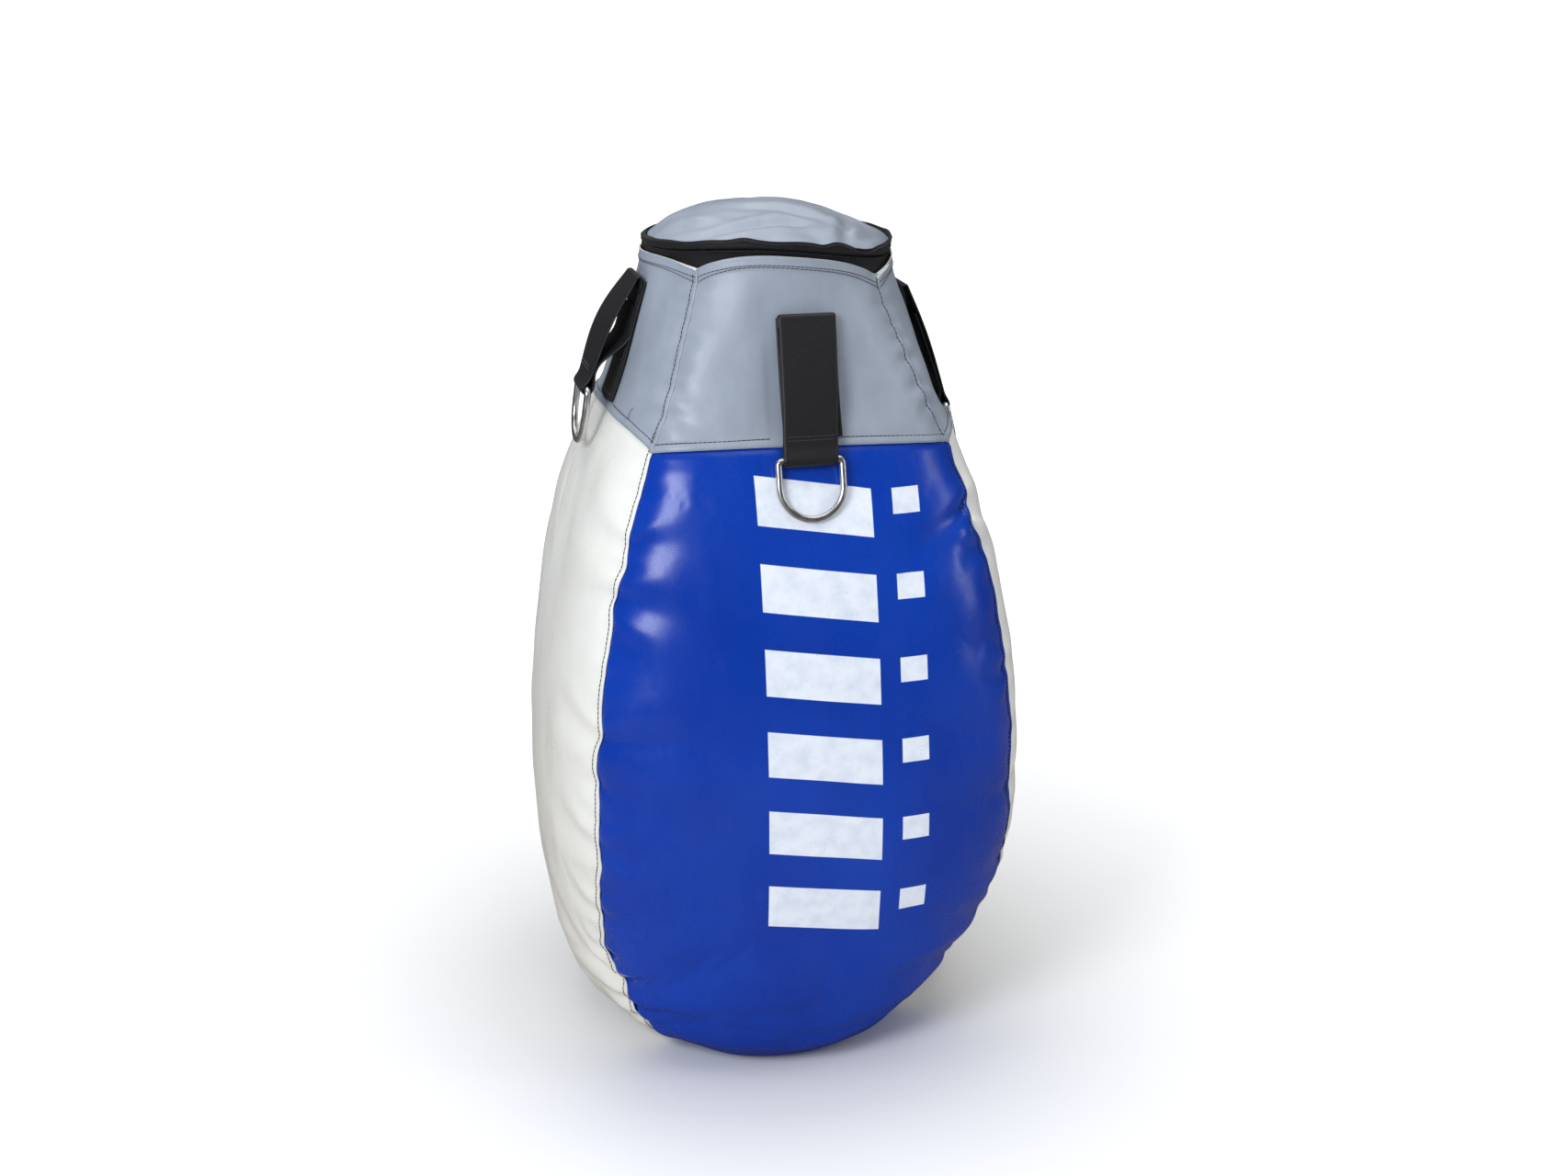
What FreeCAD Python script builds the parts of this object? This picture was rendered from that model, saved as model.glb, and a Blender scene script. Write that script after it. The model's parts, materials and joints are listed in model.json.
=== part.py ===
import FreeCAD, Part
import math
import os

# Teardrop heavy bag: four tapered body panels and four yoke panels of coated fabric, closed by a zipped lid.
# It hangs from a frame by four webbing straps with steel D-rings.
# Inside are a foam liner and a sack of textile fill.
# Millimetres, +Z up, origin at the centre of the flat base, the front panel faces -Y.

# ---- driving dimensions ----------------------------------------------------------------------
STATIONS = [  # (half width across the flats, height) up the outside of the cover
    (91.0, 0.6), (127.0, 3.2), (153.0, 14.0), (173.5, 36.0), (190.0, 72.0), (202.0, 134.0), (210.0, 201.0),
    (210.0, 267.0), (204.0, 334.0), (193.0, 401.0), (176.0, 479.0), (149.0, 557.0), (130.7, 606.0),
    (117.7, 654.0), (109.6, 690.0), (108.0, 704.0),
]
WAIST = 557.0            # height of the seam between body and yoke, at the corners
WAIST_RISE = {"front": 5.0, "right": 9.0, "back": 9.0, "left": 16.0}  # the seam's arch above that, mid panel
YOKE_TOP = 703.0         # top edge of the yoke, mid panel
YOKE_DIP = 8.0           # how far that edge falls to the corners
CORNER_SQUARENESS = 1.95  # added to 2 (a circle) in the section's superellipse exponent at the waist
SQUARENESS_GROWTH = 2.4  # how soon that is reached on the way up from the base
SEAM_ANGLE = 45.0        # degrees from the middle of the front panel to its seams, at waist and base
SEAM_SPREAD = 4.5        # extra half angle of the front and back panels at the belly
SPREAD_SHAPE = 0.7       # exponent that keeps the spread wide over most of the height
SKIN = 1.2               # coated fabric
SEAM_GAP = 0.15          # half the gap between neighbouring panels
BASE_RADIUS = 90.4
BASE_THICKNESS = 1.8

ZIP_Z = 709.0            # plane in which the zip closes
ZIP_RADIUS = 105.5       # middle of the zip tape
TAPE = 1.0               # tape thickness
COIL = 3.0               # height and depth of one coil
COIL_GAP = 1.0           # between the coils, where the slider's web runs
TAPE_LIFT = 0.2          # between a coil and its tape
ZIP_HALF_ARC = 150.0     # degrees from the front to each end of the zip
LOWER_TAPE_BOTTOM = 690.0
UPPER_TAPE_TOP = 719.4   # just under the lid's shoulder
STOP_ARC = (0.2, 2.2)    # degrees past the zip's end that a stop spans
STOP_HALF_DEPTH = 2.0
STOP_DROP = (4.0, 0.6)   # foot and head of a stop, below the zip's plane
HINGE_GAP = 0.4          # degrees between a stop and the hinge bands
LID_RADIUS = 107.6
LID_SKIRT_BOTTOM = 717.5
LID_SHOULDER = 720.5
LID_TOP = 748.0
LID_HINGE_GAP = 1.0      # half the gap between the two hinge bands, so that the lid can fold right back

WEB_WIDTH = 50.0         # sewn strap
TAB_WIDTH = 46.0         # free tab, drawn in a little by its ring
WEB = 2.2                # webbing thickness
STRAP_GAP = 0.4          # between the sewn strap and the panel under it
STRAP_FOOT = 3.0         # from the waist seam up to the foot of a strap
TAB_THICK = 5.0
TAB_GAP = 0.3            # between the sewn strap and the fold of the tab
FOLD_HEIGHT = {"front": 666.0, "right": 669.0, "back": 668.0, "left": 685.0}  # axis that each tab swings on
BAR_PLACE = {  # radius and height of each D-ring's bar
    "front": (159.5, 553.0), "right": (158.5, 560.0), "back": (159.0, 557.0), "left": (162.5, 590.0),
}
RING_WIRE = 3.0          # wire radius
RING_BORE = 3.1          # inside radius of the webbing loop
RING_HALF = 27.0         # centre of the ring to the centre of an arm
RING_ARM = 21.5          # straight part of an arm
RING_CORNER = 3.8
RING_LEAN = 16.0         # degrees from straight down, at rest against the bag

BACKING = (70.0, 1.0)    # width and thickness of the patch behind each strap
BACKING_DROP = 2.0       # the patch starts this far below the strap's foot
LINING_GAP = 0.3         # between a panel and the patch behind it
FOAM = (3.8, 12.0)       # foam liner, depth below the outside of the cover
FOAM_FOOT = 17.0
FOAM_HEAD = 682.0
BASE_DISC = (116.0, 5.4, 6.0)  # radius, foot and thickness of the foam disc in the base
SACK = (12.8, 13.8)
SACK_HEAD = 684.0        # where the sack's wall turns into its gathered top
SACK_DOME = [(88.0, 703.0), (66.0, 718.0), (34.0, 727.5), (15.0, 730.0)]
SACK_NECK = 9.0
CAP_EDGE = (2.5, 1.0)    # how far inside and below the wall's top edge a domed cap starts
DOME_SLOPE = 1.2         # upright thickness of the dome's cloth, as a share of the cloth
CORD = 1.3               # radius of the draw cord
CORD_GAP = (1.1, 0.2)    # from the neck out to the cord, and from the dome up to it
FILL_DEPTH = 14.4
FILL_DROP = 2.3          # from the sack's dome down and in to the fill
THREAD = 0.8             # width of a row of stitches
THREAD_LIFT = (0.55, 1.15)  # under and upper side of a row of stitches, above the panel
STITCH_MARGIN = 7.0      # from a seam to its row of stitches
STRAP_STITCH = (0.05, 0.25)  # the same for rows on webbing, above its face
STRAP_INSET = 5.0        # from the edge of a strap to its stitches
STRAP_CROSS_ROWS = 4
TAB_ROWS = (16.0, 19.0)  # height of a tab's two rows of stitches above the ring's bar
TAB_ROW_INSET = 3.0      # from a side edge of the tab to the ends of its rows
TAB_ROW = (0.05, 0.4, 0.9)  # a row's gap from the tab, depth and width

SIDES = {"front": 0.0, "right": 90.0, "back": 180.0, "left": 270.0}
UP = FreeCAD.Vector(0, 0, 1)
ORIGIN = FreeCAD.Vector(0, 0, 0)


def vec(x, y, z):
    return FreeCAD.Vector(x, y, z)


def smooth(x):
    x = min(1.0, max(0.0, x))
    return x * x * (3 - 2 * x)


# ---- the shape of the cover ------------------------------------------------------------------
PROFILE = Part.BSplineCurve()
PROFILE.interpolate([vec(width, 0, height) for width, height in STATIONS])


def profile_point(t, depth=0.0):
    """Half width and height at t (0 base, 1 yoke top), moved inwards by depth."""
    point, tangent = PROFILE.getD1(t * PROFILE.LastParameter)
    tangent.normalize()
    return point.x - depth * tangent.z, point.z + depth * tangent.x


def profile_at(height):
    """The t at which the outside of the cover reaches a height."""
    low, high = 0.0, 1.0
    for _ in range(40):
        mid = (low + high) / 2
        if profile_point(mid)[1] < height:
            low = mid
        else:
            high = mid
    return (low + high) / 2


def squareness(height):
    """Superellipse exponent of the section: round at base and zip, squarest at the waist."""
    if height < WAIST:
        return 2 + CORNER_SQUARENESS * (1 - (1 - max(height, 0) / WAIST) ** SQUARENESS_GROWTH)
    return 2 + CORNER_SQUARENESS * (1 - smooth((height - WAIST) / (YOKE_TOP - WAIST)))


def section(angle, exponent):
    """Radius of the unit section at an angle in degrees from the middle of a panel."""
    a = math.radians(angle)
    return (abs(math.cos(a)) ** exponent + abs(math.sin(a)) ** exponent) ** (-1 / exponent)


def cover_point(t, angle, depth=0.0):
    """A point on the cover; angle is in degrees from the front, positive towards +X."""
    width, height = profile_point(t, depth)
    radius = width * section(angle, squareness(profile_point(t)[1]))
    a = math.radians(angle)
    return vec(radius * math.sin(a), -radius * math.cos(a), height)


def seam_half_angle(t, side):
    """Half the angle that a panel spans at t. Front and back widen at the belly, the sides narrow."""
    height = min(max(profile_point(t)[1], 0.0), WAIST)
    spread = SEAM_SPREAD * max(math.sin(math.pi * height / WAIST), 0.0) ** SPREAD_SHAPE
    return SEAM_ANGLE + spread if side in ("front", "back") else SEAM_ANGLE - spread


def waist_height(side, v):
    return WAIST + WAIST_RISE[side] * (1 - v * v)


def yoke_top_height(v):
    return YOKE_TOP - YOKE_DIP * abs(v) ** 3


# ---- solids from surfaces --------------------------------------------------------------------
def surface(point, rows, columns):
    grid = [[point(u / (rows - 1), 2 * v / (columns - 1) - 1) for v in range(columns)] for u in range(rows)]
    face = Part.BSplineSurface()
    face.interpolate(grid)
    return face


def sheet(point, near, far, rows, columns):
    """A closed solid between point(u, v, near) and point(u, v, far), u 0 to 1 and v -1 to 1."""
    skins = [surface(lambda u, v, d=d: point(u, v, d), rows, columns) for d in (near, far)]
    faces = [s.toShape() for s in skins]
    u0, u1, v0, v1 = skins[0].bounds()
    for iso in (lambda s: s.uIso(u0), lambda s: s.uIso(u1), lambda s: s.vIso(v0), lambda s: s.vIso(v1)):
        faces.append(Part.makeRuledSurface(iso(skins[0]).toShape(), iso(skins[1]).toShape()))
    shell = Part.makeShell(faces)
    shell.sewShape()
    return outward(Part.makeSolid(shell))


def outward(solid):
    if solid.Volume < 0:
        solid.reverse()
    return solid


def closed_section(t, depth, points=40):
    """One closed horizontal section of the cover's shape, at a depth below its outside."""
    _, height = profile_point(t, depth)
    ring = [cover_point(t, 360.0 * i / points, depth) for i in range(points)]
    for p in ring:
        p.z = height
    curve = Part.BSplineCurve()
    curve.interpolate(ring, PeriodicFlag=True)
    return Part.Wire(curve.toShape())


def filled(depth, wall_top, dome, rows=16):
    """A solid that fills the cover to a depth below its outside, then rises through dome circles."""
    end = profile_at(wall_top)
    wires = [closed_section(end * i / (rows - 1), depth) for i in range(rows)]
    body = Part.makeLoft(wires, True, False)
    if not dome:
        return body
    width, height = profile_point(end, depth)
    inwards, down = CAP_EDGE
    centre, edge = vec(0, 0, height - down), vec(width - inwards, 0, height - down)
    curve = Part.BSplineCurve()
    curve.interpolate([edge] + [vec(r, 0, z) for r, z in dome])
    last = vec(dome[-1][0], 0, dome[-1][1])
    top = vec(0, 0, dome[-1][1])
    edges = [Part.makeLine(centre, edge), curve.toShape()]
    edges += [Part.makeLine(last, top), Part.makeLine(top, centre)]
    cap = Part.Face(Part.Wire(edges)).revolve(ORIGIN, UP, 360)
    return body.fuse(cap).removeSplitter()


def ring_band(inner, outer, low, high, start, end):
    """A band round the Z axis from start to end, in degrees from the front."""
    face = Part.makePolygon([vec(0, -inner, low), vec(0, -outer, low), vec(0, -outer, high),
                             vec(0, -inner, high), vec(0, -inner, low)])
    band = Part.Face(face).revolve(ORIGIN, UP, end - start)
    band.rotate(ORIGIN, UP, start)
    return band


# ---- cover -----------------------------------------------------------------------------------
def panel_angle(t, side, v):
    half = seam_half_angle(t, side)
    width, height = profile_point(t)
    gap = math.degrees(SEAM_GAP / (width * section(half, squareness(height))))
    return SIDES[side] + v * (half - gap)


def body_panel(side):
    def point(u, v, depth):
        t = u * profile_at(waist_height(side, v) - SEAM_GAP)
        return cover_point(t, panel_angle(t, side, v), depth)
    return sheet(point, 0.0, SKIN, rows=22, columns=17)


def yoke_panel(side):
    def point(u, v, depth):
        low = profile_at(waist_height(side, v) + SEAM_GAP)
        t = low + u * (profile_at(yoke_top_height(v)) - low)
        return cover_point(t, panel_angle(t, side, v), depth)
    return sheet(point, 0.0, SKIN, rows=12, columns=17)


# ---- zip and lid -----------------------------------------------------------------------------
def zip_band(thickness, low, high):
    """A strip of the zip, centred on the zip's radius."""
    half = thickness / 2
    return ring_band(ZIP_RADIUS - half, ZIP_RADIUS + half, low, high, -ZIP_HALF_ARC, ZIP_HALF_ARC)


def lower_zip_tape():
    return zip_band(TAPE, LOWER_TAPE_BOTTOM, ZIP_Z - COIL_GAP / 2 - COIL - TAPE_LIFT)


def upper_zip_tape():
    return zip_band(TAPE, ZIP_Z + COIL_GAP / 2 + COIL + TAPE_LIFT, UPPER_TAPE_TOP)


def zip_coil(direction):
    """direction -1 is the coil on the bag, +1 the coil on the lid."""
    low, high = sorted(ZIP_Z + direction * (COIL_GAP / 2 + d) for d in (0, COIL))
    return zip_band(COIL, low, high)


def end_stops():
    """A folded metal stop on the bag's coil, past each end of it."""
    stops = []
    inner, outer = ZIP_RADIUS - STOP_HALF_DEPTH, ZIP_RADIUS + STOP_HALF_DEPTH
    for side in (-1, 1):
        near, far = sorted(side * (ZIP_HALF_ARC + d) for d in STOP_ARC)
        stops.append(ring_band(inner, outer, ZIP_Z - STOP_DROP[0], ZIP_Z - STOP_DROP[1], near, far))
    return Part.makeCompound(stops)


def hinge_band(low, high):
    """Plain cover fabric that joins lid and bag behind the zip."""
    start = ZIP_HALF_ARC + STOP_ARC[1] + HINGE_GAP
    half = SKIN / 2
    return ring_band(ZIP_RADIUS - half, ZIP_RADIUS + half, low, high, start, 360 - start)


def lid_panel():
    """A shallow dome with a short skirt over the upper tape."""
    rise = LID_TOP - LID_SHOULDER
    radius = (LID_RADIUS ** 2 + rise ** 2) / (2 * rise)
    centre = vec(0, 0, LID_TOP - radius)
    cap = Part.makeSphere(radius, centre).cut(Part.makeSphere(radius - SKIN, centre))
    keep = Part.makeCylinder(LID_RADIUS, 2 * rise, vec(0, 0, LID_SHOULDER - SKIN / 2), UP)
    foot, depth = vec(0, 0, LID_SKIRT_BOTTOM), LID_SHOULDER - LID_SKIRT_BOTTOM
    skirt = Part.makeCylinder(LID_RADIUS, depth, foot, UP)
    bore = Part.makeCylinder(LID_RADIUS - SKIN, depth, foot, UP)
    return cap.common(keep).fuse(skirt.cut(bore)).removeSplitter()


SLIDER_HALF_HEIGHT = 4.6
SLIDER_PLATES = ((101.8, 103.0), (108.2, 109.8))  # inner and outer plate, radii
SLIDER_HALF_ANGLE = 3.6
SLIDER_END_GAP = 0.4     # degrees between the slider and the zip's closed end
SLIDER_WEB = (0.8, 2.0)  # thickness and half angle of the web between the coils
SLIDER_OVERLAP = 0.2     # how far joined parts of the slider reach into each other
CROWN = (2.1, 3.5, 3.0)  # inner radius, outer radius and height of the crown that holds the pull
PULL_AXIS = 110.75       # radius of the pull's pivot
PULL_BAR = 0.8
PULL_ARM_GAP = 0.4
PULL_ARM = (6.5, 1.5)    # length and thickness of an arm
PULL_LENGTH = 26.0
PULL_HEIGHT = 9.0
PULL_PLATE_START = 5.5   # from the pivot to the plate
PULL_CORNER = 2.0
PULL_HOLE = (2.0, 4.5)   # radius of the hole, and its place from the free end


def at_zip_end(shape):
    """Moves a shape built at the front of the zip to the closed end, behind and to the right."""
    shape.rotate(ORIGIN, UP, ZIP_HALF_ARC - SLIDER_HALF_ANGLE - SLIDER_END_GAP)
    return shape


def zip_slider():
    low, high = ZIP_Z - SLIDER_HALF_HEIGHT, ZIP_Z + SLIDER_HALF_HEIGHT
    plates = [ring_band(a, b, low, high, -SLIDER_HALF_ANGLE, SLIDER_HALF_ANGLE) for a, b in SLIDER_PLATES]
    thickness, angle = SLIDER_WEB
    web = ring_band(SLIDER_PLATES[0][1] - SLIDER_OVERLAP, SLIDER_PLATES[1][0] + SLIDER_OVERLAP,
                    ZIP_Z - thickness / 2, ZIP_Z + thickness / 2, -angle, angle)
    face_y = -SLIDER_PLATES[1][1] + SLIDER_OVERLAP
    centre = vec(0, face_y, ZIP_Z - CROWN[2] / 2)
    crown = Part.makeCylinder(CROWN[1], CROWN[2], centre, UP)
    crown = crown.cut(Part.makeCylinder(CROWN[0], CROWN[2], centre, UP))
    reach = 2 * CROWN[1]
    outside = Part.makeBox(2 * reach, reach, 2 * reach, vec(-reach, face_y - reach, ZIP_Z - reach))
    crown = crown.common(outside)
    body = plates[0].fuse([plates[1], web, crown]).removeSplitter()
    return at_zip_end(body)


def zip_pull():
    """A flat pull with two arms and a bar that turns under the slider's crown. It lies towards the front."""
    arm_length, arm = PULL_ARM
    arm_start = CROWN[2] / 2 + PULL_ARM_GAP
    bar_half = arm_start + arm
    bar = Part.makeCylinder(PULL_BAR, 2 * bar_half, vec(0, -PULL_AXIS, ZIP_Z - bar_half), UP)
    thickness, back = 2 * PULL_BAR, -PULL_AXIS - PULL_BAR
    arms = [Part.makeBox(arm_length, thickness, arm, vec(-arm_length, back, low))
            for low in (ZIP_Z - arm_start - arm, ZIP_Z + arm_start)]
    plate = Part.makeBox(PULL_LENGTH - PULL_PLATE_START, thickness, PULL_HEIGHT,
                         vec(-PULL_LENGTH, back, ZIP_Z - PULL_HEIGHT / 2))
    corners = [e for e in plate.Edges if abs(e.tangentAt(e.FirstParameter).y) > 0.9]
    plate = plate.makeFillet(PULL_CORNER, corners)
    radius, place = PULL_HOLE
    start = vec(place - PULL_LENGTH, back - thickness, ZIP_Z)
    hole = Part.makeCylinder(radius, 3 * thickness, start, vec(0, 1, 0))
    body = bar.fuse(arms + [plate]).removeSplitter().cut(hole)
    return at_zip_end(body)


# ---- straps and rings ------------------------------------------------------------------------
def strip_point(height, x, lift):
    """A point at x across the middle of the front panel, a distance outside its surface."""
    t = profile_at(height)
    angle = 0.0
    for _ in range(8):
        point = cover_point(t, angle, -lift)
        angle += math.degrees((x - point.x) / -point.y)
    return cover_point(t, angle, -lift)


def strip(low, high, near, far, width, x=0.0, rows=7, columns=7):
    """A strip that follows the middle of the front panel, between two lifts from its outside."""
    def point(u, v, lift):
        return strip_point(low + u * (high - low), x + v * width / 2, lift)
    return sheet(point, near, far, rows, columns)


def strap_foot(side):
    return WAIST + WAIST_RISE[side] + STRAP_FOOT


def strap_base(side):
    return strip(strap_foot(side), FOLD_HEIGHT[side], STRAP_GAP, STRAP_GAP + WEB, WEB_WIDTH)


def strap_backing(side):
    width, thickness = BACKING
    near = -(SKIN + LINING_GAP)
    foot = strap_foot(side) - BACKING_DROP
    return strip(foot, FOLD_HEIGHT[side], near, near - thickness, width, rows=9, columns=11)


def strap_stitching(side):
    """Two long rows and the short rows across that sew a strap to its panel."""
    low, high = (STRAP_GAP + WEB + d for d in STRAP_STITCH)
    foot, head = strap_foot(side) + STRAP_INSET, FOLD_HEIGHT[side] - TAB_THICK - STRAP_INSET
    across = WEB_WIDTH / 2 - STRAP_INSET
    rows = [strip(foot, head, low, high, THREAD, x, columns=3) for x in (-across, across)]
    for i in range(STRAP_CROSS_ROWS):
        height = foot + (head - foot) * i / (STRAP_CROSS_ROWS - 1)
        rows.append(strip(height, height + THREAD, low, high, 2 * (across - THREAD), rows=3))
    return Part.makeCompound(rows)


def fold_place(side):
    """Radius and height of the axis that a tab swings on."""
    width, _ = profile_point(profile_at(FOLD_HEIGHT[side]))
    return width + STRAP_GAP + WEB + TAB_GAP + TAB_THICK / 2, FOLD_HEIGHT[side]


def tab_length(side):
    fold, bar = fold_place(side), BAR_PLACE[side]
    return math.hypot(bar[0] - fold[0], fold[1] - bar[1])


def in_tab_frame(shape, side):
    """Places a shape that hangs from the origin down the Z axis at the fold of a front strap."""
    fold, bar = fold_place(side), BAR_PLACE[side]
    lean = math.degrees(math.atan2(bar[0] - fold[0], fold[1] - bar[1]))
    shape.rotate(ORIGIN, vec(1, 0, 0), -lean)
    shape.translate(vec(0, -fold[0], fold[1]))
    return shape


def strap_tab(side):
    """The free end of the strap: two layers of webbing that end in a loop round the ring's bar."""
    length = tab_length(side)
    left = vec(-TAB_WIDTH / 2, 0, 0)
    along = vec(1, 0, 0)
    fold = Part.makeCylinder(TAB_THICK / 2, TAB_WIDTH, left, along)
    plate = Part.makeBox(TAB_WIDTH, TAB_THICK, length, vec(-TAB_WIDTH / 2, -TAB_THICK / 2, -length))
    loop_centre = left + vec(0, 0, -length)
    loop = Part.makeCylinder(RING_BORE + WEB, TAB_WIDTH, loop_centre, along)
    body = plate.fuse([fold, loop]).removeSplitter()
    body = body.cut(Part.makeCylinder(RING_BORE, TAB_WIDTH, loop_centre, along))
    return in_tab_frame(body, side)


def tab_stitching(side):
    """Two rows across the tab that close the loop round the bar, on its outer face."""
    gap, depth, width = TAB_ROW
    length = TAB_WIDTH - 2 * TAB_ROW_INSET
    rows = []
    for up in TAB_ROWS:
        corner = vec(-length / 2, -TAB_THICK / 2 - gap - depth, up - tab_length(side))
        rows.append(Part.makeBox(length, depth, width, corner))
    return in_tab_frame(Part.makeCompound(rows), side)


def d_ring(side):
    """One loop of round wire: straight bar, two arms and a half-round end."""
    half, arm, corner = RING_HALF, RING_ARM, RING_CORNER
    diagonal = math.sqrt(0.5)
    slack = corner * (1 - diagonal)
    end = vec(0, 0, -arm - half)
    edges = [Part.makeLine(vec(-half + corner, 0, 0), vec(half - corner, 0, 0))]
    for sign in (-1, 1):
        bend = Part.Arc(vec(sign * (half - corner), 0, 0), vec(sign * (half - slack), 0, -slack),
                        vec(sign * half, 0, -corner))
        bow = Part.Arc(vec(sign * half, 0, -arm), vec(sign * half * diagonal, 0, -arm - half * diagonal), end)
        edges += [bend.toShape(), Part.makeLine(vec(sign * half, 0, -corner), vec(sign * half, 0, -arm)),
                  bow.toShape()]
    path = Part.Wire(Part.__sortEdges__(edges))
    first = path.OrderedVertexes[0].Point
    tangent = path.OrderedEdges[0].tangentAt(path.OrderedEdges[0].FirstParameter)
    profile = Part.Wire(Part.makeCircle(RING_WIRE, first, tangent))
    ring = path.makePipeShell([profile], True, True)
    ring.rotate(ORIGIN, vec(1, 0, 0), -RING_LEAN)
    ring.translate(vec(0, -BAR_PLACE[side][0], BAR_PLACE[side][1]))
    return ring


# ---- stitching on the cover ------------------------------------------------------------------
def seam_row(low, high, rows, side, sign):
    """Stitches a margin inside one panel's seam, from one height to another."""
    def point(u, v, lift):
        t = profile_at(low + u * (high - low))
        inset = STITCH_MARGIN + v * THREAD / 2
        angle = seam_half_angle(t, side) - math.degrees(inset / profile_point(t)[0])
        return cover_point(t, SIDES[side] + sign * angle, -lift)
    near, far = THREAD_LIFT
    return sheet(point, near, far, rows, 3)


def seam_rows(low, high, rows):
    return Part.makeCompound([seam_row(low, high, rows, side, sign) for side in ("left", "right")
                              for sign in (-1, 1)])


def body_seam_stitching():
    return seam_rows(STITCH_MARGIN + THREAD, WAIST - STITCH_MARGIN, rows=22)


def yoke_seam_stitching():
    return seam_rows(WAIST + 2 * STITCH_MARGIN, YOKE_TOP - YOKE_DIP - 2 * STITCH_MARGIN, rows=9)


def level_row(side, height_at, start, end, columns):
    """Stitches across one panel from v = start to v = end, where the panel spans -1 to 1."""
    def point(u, v, lift):
        place = start + (v + 1) / 2 * (end - start)
        t = profile_at(height_at(place) + (u - 0.5) * THREAD)
        return cover_point(t, panel_angle(t, side, place), -lift)
    near, far = THREAD_LIFT
    return sheet(point, near, far, 3, columns)


def waist_stitching():
    """Beside the straps only, because a strap covers the middle of each row."""
    beside, corner = 0.27, 0.87
    rows = []
    for side in SIDES:
        for start, end in ((-corner, -beside), (beside, corner)):
            rows.append(level_row(side, lambda v: waist_height(side, v) + STITCH_MARGIN, start, end, 7))
    return Part.makeCompound(rows)


def neck_stitching():
    drop, reach = 8.0, 0.86
    return Part.makeCompound([level_row(side, lambda v: yoke_top_height(v) - drop, -reach, reach, 15)
                              for side in SIDES])


# ---- inside ----------------------------------------------------------------------------------
def foam_liner():
    """The foam wall: open at the top, and open over the base disc."""
    wall = filled(FOAM[0], FOAM_HEAD, []).cut(filled(FOAM[1], YOKE_TOP, []))
    widest = max(width for width, _ in STATIONS)
    return wall.cut(Part.makeCylinder(2 * widest, FOAM_FOOT, ORIGIN, UP))


def base_foam_disc():
    radius, foot, thickness = BASE_DISC
    return Part.makeCylinder(radius, thickness, vec(0, 0, foot), UP)


def fill_sack():
    """Woven sack with a gathered neck at the top."""
    cloth = SACK[1] - SACK[0]
    outer = filled(SACK[0], SACK_HEAD, SACK_DOME)
    inner = filled(SACK[1], SACK_HEAD - cloth, [(r - cloth, z - DOME_SLOPE * cloth) for r, z in SACK_DOME])
    neck = Part.makeCylinder(SACK_NECK, SACK_DOME[-1][1] - SACK_HEAD, vec(0, 0, SACK_HEAD + cloth), UP)
    return outer.cut(inner).cut(neck)


def sack_cord():
    """Draw cord round the sack's neck."""
    out, up = CORD_GAP
    return Part.makeTorus(SACK_NECK + CORD + out, CORD, vec(0, 0, SACK_DOME[-1][1] + CORD + up), UP)


def textile_fill():
    dome = [(r - FILL_DROP, z - FILL_DROP) for r, z in SACK_DOME]
    return filled(FILL_DEPTH, SACK_HEAD - FILL_DROP, dome)


# ---- write one STEP per node -----------------------------------------------------------------
def turned(shape, side):
    shape = shape.copy()
    shape.rotate(ORIGIN, UP, SIDES[side])
    return shape


STRAP_PARTS = {
    "strap_base": strap_base, "strap_backing": strap_backing, "strap_stitching": strap_stitching,
    "strap_tab": strap_tab, "tab_stitching": tab_stitching, "d_ring": d_ring,
}


def build():
    nodes = {
        "base_panel": Part.makeCylinder(BASE_RADIUS, BASE_THICKNESS),
        "lower_zip_tape": lower_zip_tape(),
        "upper_zip_tape": upper_zip_tape(),
        "lower_zip_coil": zip_coil(-1),
        "upper_zip_coil": zip_coil(1),
        "zip_end_stops": end_stops(),
        "lower_hinge_band": hinge_band(LOWER_TAPE_BOTTOM, ZIP_Z - LID_HINGE_GAP),
        "upper_hinge_band": hinge_band(ZIP_Z + LID_HINGE_GAP, UPPER_TAPE_TOP),
        "lid_panel": lid_panel(),
        "zip_slider": zip_slider(),
        "zip_pull": zip_pull(),
        "body_seam_stitching": body_seam_stitching(),
        "yoke_seam_stitching": yoke_seam_stitching(),
        "waist_stitching": waist_stitching(),
        "neck_stitching": neck_stitching(),
        "foam_liner": foam_liner(),
        "base_foam_disc": base_foam_disc(),
        "fill_sack": fill_sack(),
        "sack_cord": sack_cord(),
        "textile_fill": textile_fill(),
    }
    for side in SIDES:
        nodes[side + "_body_panel"] = body_panel(side)
        nodes[side + "_yoke_panel"] = yoke_panel(side)
        for part, make in STRAP_PARTS.items():
            nodes[side + "_" + part] = turned(make(side), side)
    return nodes


os.makedirs("parts", exist_ok=True)
for name, shape in build().items():
    shape.exportStep(os.path.join("parts", name + ".step"))
    print(name, "solids", len(shape.Solids), "valid", shape.isValid(), "cm3", round(shape.Volume / 1000, 2))
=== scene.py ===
import json
import math

import bpy
import numpy as np
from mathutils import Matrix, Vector
from mathutils.bvhtree import BVHTree


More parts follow.
